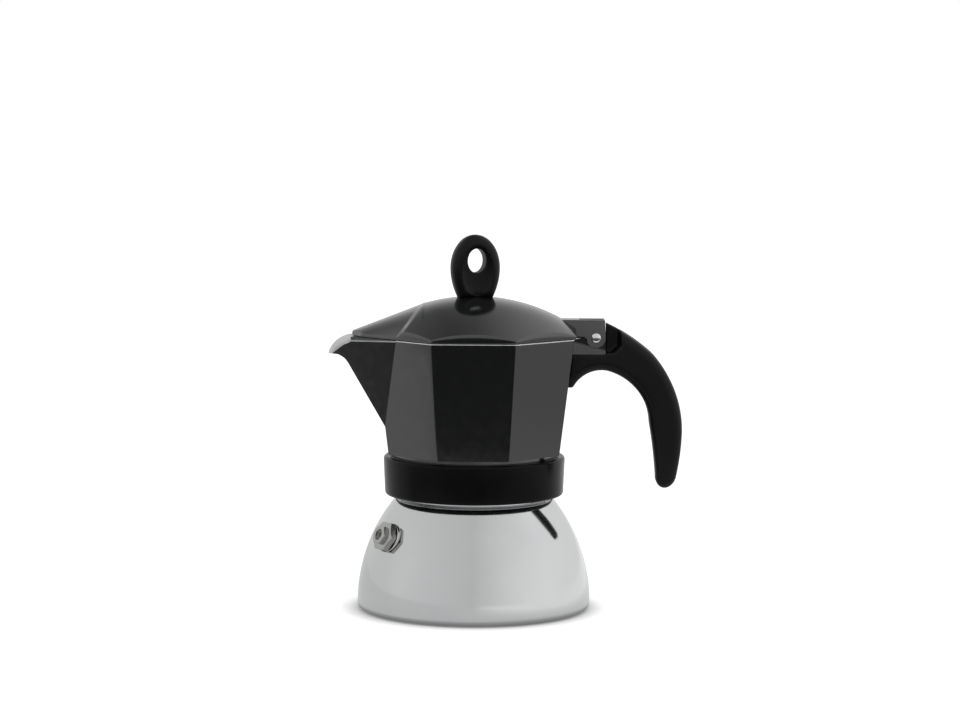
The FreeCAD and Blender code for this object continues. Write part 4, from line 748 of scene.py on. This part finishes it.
# The same nylon from a spark-etched mould: a fine even grain, duller, with faint shiny wear.
plastic_grain = add(plastic_tree, "ShaderNodeTexNoise", {
    "Vector": plastic_place, "Scale": 3400.0, "Detail": 2.0})
plastic_wear = add(plastic_tree, "ShaderNodeTexNoise", {
    "Vector": plastic_place, "Scale": 70.0, "Detail": 3.0})
plastic_tone = add(plastic_tree, "ShaderNodeMix", {
    0: plastic_grain.outputs["Fac"], 6: colour("#070708"), 7: colour("#0d0d0e")}, data_type="RGBA")
plastic_gloss = add(plastic_tree, "ShaderNodeMapRange", {
    "Value": plastic_wear.outputs["Fac"], "From Min": 0.3, "From Max": 0.7,
    "To Min": 0.36, "To Max": 0.46})
plastic_bump = add(plastic_tree, "ShaderNodeBump", {
    "Height": plastic_grain.outputs["Fac"], "Strength": 0.12, "Distance": 0.00008})
feed(plastic_shader, {
    "Base Color": plastic_tone.outputs[2], "Roughness": plastic_gloss.outputs["Result"],
    "Normal": plastic_bump.outputs["Normal"]})

handle = copied("handle", "handle_black", plastic)
remesh = handle.modifiers.new("remesh", "REMESH")
remesh.mode = "VOXEL"
remesh.voxel_size = 0.00042
soften = handle.modifiers.new("soften", "SMOOTH")
soften.factor = 0.5
soften.iterations = 6
bpy.context.view_layer.update()
handle_whole = handle.evaluated_get(bpy.context.evaluated_depsgraph_get())
handle_mesh = bpy.data.meshes.new_from_object(handle_whole)
handle.modifiers.clear()
handle.data = handle_mesh
handle_mesh.shade_smooth()
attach(handle, "collector")
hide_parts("handle")
dress("handle_screw", spring)

# Hinge pin: a bright steel rivet through both of the lid's ears and the jug's knuckle, with a low
# domed head on each side.
bright, bright_tree, bright_shader, bright_place = surface("steel_bright", {"Metallic": 1.0})
# Bright-rolled steel: mirror-like, with very fine handling scratches in the gloss.
bright_scratch = add(bright_tree, "ShaderNodeTexNoise", {
    "Vector": add(bright_tree, "ShaderNodeMapping", {
        "Vector": bright_place, "Scale": (900.0, 900.0, 5200.0)}).outputs["Vector"],
    "Detail": 3.0, "Scale": 1.0})
bright_tone = add(bright_tree, "ShaderNodeMix", {
    0: bright_scratch.outputs["Fac"], 6: colour("#dcdcdc"), 7: colour("#ebebeb")}, data_type="RGBA")
bright_gloss = add(bright_tree, "ShaderNodeMapRange", {
    "Value": bright_scratch.outputs["Fac"], "To Min": 0.08, "To Max": 0.2})
feed(bright_shader, {"Base Color": bright_tone.outputs[2], "Roughness": bright_gloss.outputs["Result"]})

PIN = (52.8, 0.0, 119.55)
pin_tree, size = tree_of("rivet", ["Shank", "Head", "Crown", "Half_Length"])
pin_span = add(pin_tree, "ShaderNodeMath", {0: size["Half_Length"], 1: 2.0}, operation="MULTIPLY")
pin_shank = add(pin_tree, "GeometryNodeMeshCylinder", {
    "Vertices": 32, "Radius": size["Shank"], "Depth": pin_span.outputs[0]})
pin_head = add(pin_tree, "GeometryNodeMeshUVSphere", {
    "Segments": 40, "Rings": 20, "Radius": size["Head"]})
pin_flat = add(pin_tree, "ShaderNodeMath", {0: size["Crown"], 1: size["Head"]}, operation="DIVIDE")
pin_scale = add(pin_tree, "ShaderNodeCombineXYZ", {"X": 1.0, "Y": 1.0, "Z": pin_flat.outputs[0]})
pin_low = add(pin_tree, "GeometryNodeTransform", {
    "Geometry": pin_head.outputs["Mesh"], "Scale": pin_scale.outputs["Vector"]})
pin_back = add(pin_tree, "ShaderNodeMath", {0: size["Half_Length"], 1: -1.0}, operation="MULTIPLY")
pin_start = add(pin_tree, "ShaderNodeCombineXYZ", {"Z": pin_back.outputs[0]})
pin_step = add(pin_tree, "ShaderNodeCombineXYZ", {"Z": pin_span.outputs[0]})
pin_ends = add(pin_tree, "GeometryNodeMeshLine", {
    "Count": 2, "Start Location": pin_start.outputs["Vector"], "Offset": pin_step.outputs["Vector"]})
pin_heads = add(pin_tree, "GeometryNodeInstanceOnPoints", {
    "Points": pin_ends.outputs["Mesh"], "Instance": pin_low.outputs["Geometry"]})
pin_whole = add(pin_tree, "GeometryNodeJoinGeometry")
for part in (pin_shank.outputs["Mesh"], pin_heads.outputs["Instances"]):
    pin_tree.links.new(part, pin_whole.inputs["Geometry"])
pin_place = add(pin_tree, "GeometryNodeTransform", {
    "Geometry": pin_whole.outputs["Geometry"], "Rotation": (math.pi / 2, 0.0, 0.0),
    "Translation": Vector(PIN) * 0.001})
pin_real = add(pin_tree, "GeometryNodeRealizeInstances", {"Geometry": pin_place.outputs["Geometry"]})
pin_done = add(pin_tree, "GeometryNodeSetMaterial", {
    "Geometry": pin_real.outputs["Geometry"], "Material": size["Material"]})
add(pin_tree, "NodeGroupOutput", {"Geometry": pin_done.outputs["Geometry"]})
pin = grown("hinge_pin_bright", pin_tree, {
    "Shank": 0.0015, "Head": 0.0022, "Crown": 0.0008, "Half_Length": 0.0054, "Material": bright})
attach(pin, "collector")
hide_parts("hinge_pin")

# Lid: a shallow dome on an eight-sided edge, with a rounded nose over the spout that meets the dome
# in a soft crease, cast and lacquered like the jug. Two ears of its bracket turn on the pin.
LID_FOOT, EAVE, LID_HALF, LID_WALL = 120.25, 121.35, 44.1, 1.8
LID_CURVE, CURVE_Z = 80.0, 57.15
NOSE_END, NOSE_CUT, NOSE_ALONG, NOSE_ASIDE = 53.5, 50.2, 0.9063, 0.4226
RIDGE_Z, RIDGE_FALL = 134.07, 0.3848
CREASE_FOOT, CREASE_RUN = 33.0, math.tan(math.radians(37.6))
PLATE_LEAN = 0.044
lid_corner = LID_HALF * math.sqrt(2)


def lid_reach(angle, inset):
    """How far the lid's eight-sided edge, or the line this far inside it, is along an angle."""
    x, y = math.cos(angle), math.sin(angle)
    limits = [(LID_HALF - inset) / abs(y) if abs(y) > 1e-9 else 1e9,
              (LID_HALF - inset) * math.sqrt(2) / (abs(x) + abs(y)),
              (LID_HALF - inset) / x if x > 1e-9 else (NOSE_END - inset) / -x if x < -1e-9 else 1e9,
              (NOSE_CUT - inset) / (NOSE_ASIDE * abs(y) - NOSE_ALONG * x) if x < -0.9 else 1e9]
    return min(limits)


def blend(a, b, width, sign):
    """The larger (sign 1) or smaller (sign -1) of two heights, rounded where they cross."""
    near = max(width - abs(a - b), 0) / width
    return (max(a, b) if sign > 0 else min(a, b)) + sign * near * near * width / 4


def lid_top(x, y):
    """Height of the lid's outer face."""
    ball = CURVE_Z + math.sqrt(LID_CURVE ** 2 - x * x - y * y)
    if x > -20:
        return ball
    ridge = RIDGE_Z - RIDGE_FALL * max(0.0, -x - 22) - 2.0 * max(0.0, x + 22.5) ** 2
    half = lid_corner + x
    side = abs(y)
    roof = EAVE + (ridge - EAVE) * (1 - min(1.0, side / half) ** 2.2)
    crease = EAVE + (x + CREASE_FOOT) / CREASE_RUN
    tip = LID_FOOT + 0.6 + 1.3 * (NOSE_CUT + NOSE_ALONG * x - NOSE_ASIDE * side)
    crease_width = 0.1 + min(1.0, side / 12)
    return blend(blend(roof, blend(ball, crease, 2.0, -1), crease_width, 1), tip, 0.6, -1)


lid_angles = []
for i in range(720):
    if i % 4 == 0 or 260 <= i <= 460:
        lid_angles.append(math.pi * i / 360)
for corner in (22.5, 67.5, 112.5, 247.5, 292.5, 337.5):
    lid_angles += [math.radians(corner - 0.25), math.radians(corner), math.radians(corner + 0.25)]
for x in (-NOSE_END, (NOSE_ASIDE * lid_corner - NOSE_CUT) / (NOSE_ALONG - NOSE_ASIDE)):
    y = (NOSE_CUT + NOSE_ALONG * x) / NOSE_ASIDE
    nose_corner = math.atan2(y, x)
    for angle in (nose_corner, 2 * math.pi - nose_corner):
        lid_angles += [angle - 0.003, angle, angle + 0.003]
lid_angles = sorted(set(round(angle, 6) for angle in lid_angles))


def lid_plan(inset, share=1.0):
    """The lid's edge in plan, this far inside it, and drawn in to a share of its reach."""
    return [(lid_reach(a, inset) * share * math.cos(a), lid_reach(a, inset) * share * math.sin(a))
            for a in lid_angles]


lid_shares = [0.02, 0.06, 0.12, 0.18] + [0.2 + 0.78 * step / 90 for step in range(90)]
lid_plans = [lid_plan(0, share) for share in lid_shares] + [lid_plan(0.62), lid_plan(0.42)]
lid_skin = [[(0, 0, lid_top(0, 0))] * len(lid_angles)]
lid_skin += [[(x, y, lid_top(x, y)) for x, y in plan] for plan in lid_plans]
for inset, drop in ((0.22, 0.05), (0.08, 0.17), (0.0, 0.38)):
    lid_skin.append([(x, y, lid_top(x, y) - drop) for x, y in lid_plan(inset)])
for inset, height in ((0.2, 0.25), (0.28, 0.06), (0.5, 0.0), (LID_WALL - 0.2, 0.0), (LID_WALL, 0.2)):
    lid_skin.append([(x, y, LID_FOOT + height) for x, y in lid_plan(inset)])
UNDER_SOFT = 2.2
for step in range(25):
    ring = []
    for x, y in lid_plan(LID_WALL, 1.0 - step / 24):
        around = [lid_top(x + UNDER_SOFT * math.cos(b), y + UNDER_SOFT * math.sin(b)) for b in range(6)]
        under = min(sum(around) / 6, lid_top(x, y)) - LID_WALL
        ring.append((x, y, max(under, LID_FOOT + 0.25)))
    lid_skin.append(ring)


def plate(line, low, high):
    """A plate of an outline in X and Z between two depths in Y, softened, its outer faces leaning in."""
    mesh = bmesh.new()
    front_lean = PLATE_LEAN if low < -5 else 0
    back_lean = PLATE_LEAN if high > 5 else 0
    front = [mesh.verts.new((x, low + front_lean * (z - LID_FOOT), z)) for x, z in line]
    back = [mesh.verts.new((x, high - back_lean * (z - LID_FOOT), z)) for x, z in line]
    rims = [mesh.faces.new(front), mesh.faces.new(back[::-1])]
    for i in range(len(line)):
        j = (i + 1) % len(line)
        mesh.faces.new((front[j], front[i], back[i], back[j]))
    edges = [edge for face in rims for edge in face.edges]
    bmesh.ops.bevel(mesh, geom=edges, offset=0.28, segments=3, profile=0.5, affect="EDGES")
    mesh.verts.index_update()
    points = [tuple(vert.co) for vert in mesh.verts]
    faces = [tuple(vert.index for vert in face.verts) for face in mesh.faces]
    mesh.free()
    return points, faces


EAR = 4.2
ear_round = [(PIN[0] + EAR * math.cos(math.radians(a)), PIN[2] + EAR * math.sin(math.radians(a)), 0)
             for a in range(192, 361, 8)]
side_line = rounded([
    (36.1, 127.45, 0.4), (36.1, 123.0, 0.0), (44.6, 120.35, 0.3), (48.69, 120.35, 0.0), *ear_round,
    (56.65, 127.45, 0.5)], ring=True, steps=5)
web_line = rounded([
    (36.1, 127.45, 0.4), (36.1, 123.0, 0.0), (44.2, 119.3, 0.3), (48.2, 119.3, 0.3), (48.2, 121.9, 0.3),
    (45.8, 123.1, 0.3), (45.8, 127.45, 0.5)], ring=True)
lid = made("lid_lacquered", *together(
    skin(lid_skin), plate(side_line, -5.3, -2.7), plate(side_line, 2.7, 5.3), plate(web_line, -2.9, 2.9)),
    coating)
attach(lid, "lid")
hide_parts("lid")

# Knob: a black moulded egg-shaped ring that stands on the dome, with a scoop for the thumb on both
# faces. A screw through the dome, with a washer, holds it.
KNOB_Z, KNOB_TALL, KNOB_THICK, KNOB_SOFT = 136.55, 27.5, 4.8, 3.9
KNOB_HALF, KNOB_MIDDLE, KNOB_UPPER, KNOB_DRAWN_IN = 10.8, 13.1, 14.4, 3.3
KNOB_EYE, EYE_HALF, EYE_TALL, EYE_SOFT = 16.3, 4.1, 5.3, 0.7
SCOOP_Z, SCOOP_HALF, SCOOP_TALL, SCOOP_DEEP = 11.9, 6.8, 11.0, 1.4


def knob_edge(angle):
    """How far the knob's egg-shaped outline is from the middle of its eye, along an angle."""
    x, z = math.sin(angle), math.cos(angle)
    low, high = 0.0, 30.0
    for step in range(40):
        reach = (low + high) / 2
        px, pz = abs(x * reach), KNOB_EYE + z * reach
        if pz >= KNOB_MIDDLE:
            wide = math.sqrt(max(0.0, 1 - ((pz - KNOB_MIDDLE) / KNOB_UPPER) ** 2)) * KNOB_HALF
        else:
            wide = KNOB_HALF - KNOB_DRAWN_IN * max(0.0, (KNOB_MIDDLE - pz) / KNOB_MIDDLE) ** 2
        if px < wide and -0.4 < pz < KNOB_TALL:
            low = reach
        else:
            high = reach
    return low


knob_rings = []
for i in range(144):
    angle = 2 * math.pi * i / 144
    edge = knob_edge(angle)
    eye = 1 / math.hypot(math.sin(angle) / EYE_HALF, math.cos(angle) / EYE_TALL)
    face_line = []
    for step in range(33):
        share = (1 - math.cos(math.pi * step / 32)) / 2
        reach = edge + (eye - edge) * share
        x, z = reach * math.sin(angle), KNOB_EYE + reach * math.cos(angle)
        rim = min(edge - reach, KNOB_SOFT)
        lip = min(reach - eye, EYE_SOFT)
        y = KNOB_THICK - KNOB_SOFT + math.sqrt(max(0.0, KNOB_SOFT ** 2 - (KNOB_SOFT - rim) ** 2))
        y -= EYE_SOFT - math.sqrt(max(0.0, EYE_SOFT ** 2 - (EYE_SOFT - lip) ** 2))
        scoop = 1 - (x / SCOOP_HALF) ** 2 - ((z - SCOOP_Z) / SCOOP_TALL) ** 2
        y -= SCOOP_DEEP * math.sqrt(scoop) if scoop > 0 else 0.0
        face_line.append((x, y, z))
    knob_rings.append([(x, -y, z) for x, y, z in face_line] + face_line[::-1])
knob_turn = Matrix.Translation((0, 0, KNOB_Z)) @ Matrix.Rotation(math.radians(15), 4, "Z")
knob_rings = [[knob_turn @ Vector(point) for point in ring] for ring in knob_rings]
knob = made("knob_black", *skin(knob_rings, loop=True), plastic)
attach(knob, "lid")
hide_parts("lid_knob")
dress("knob_screw", spring)
dress("knob_washer", spring)
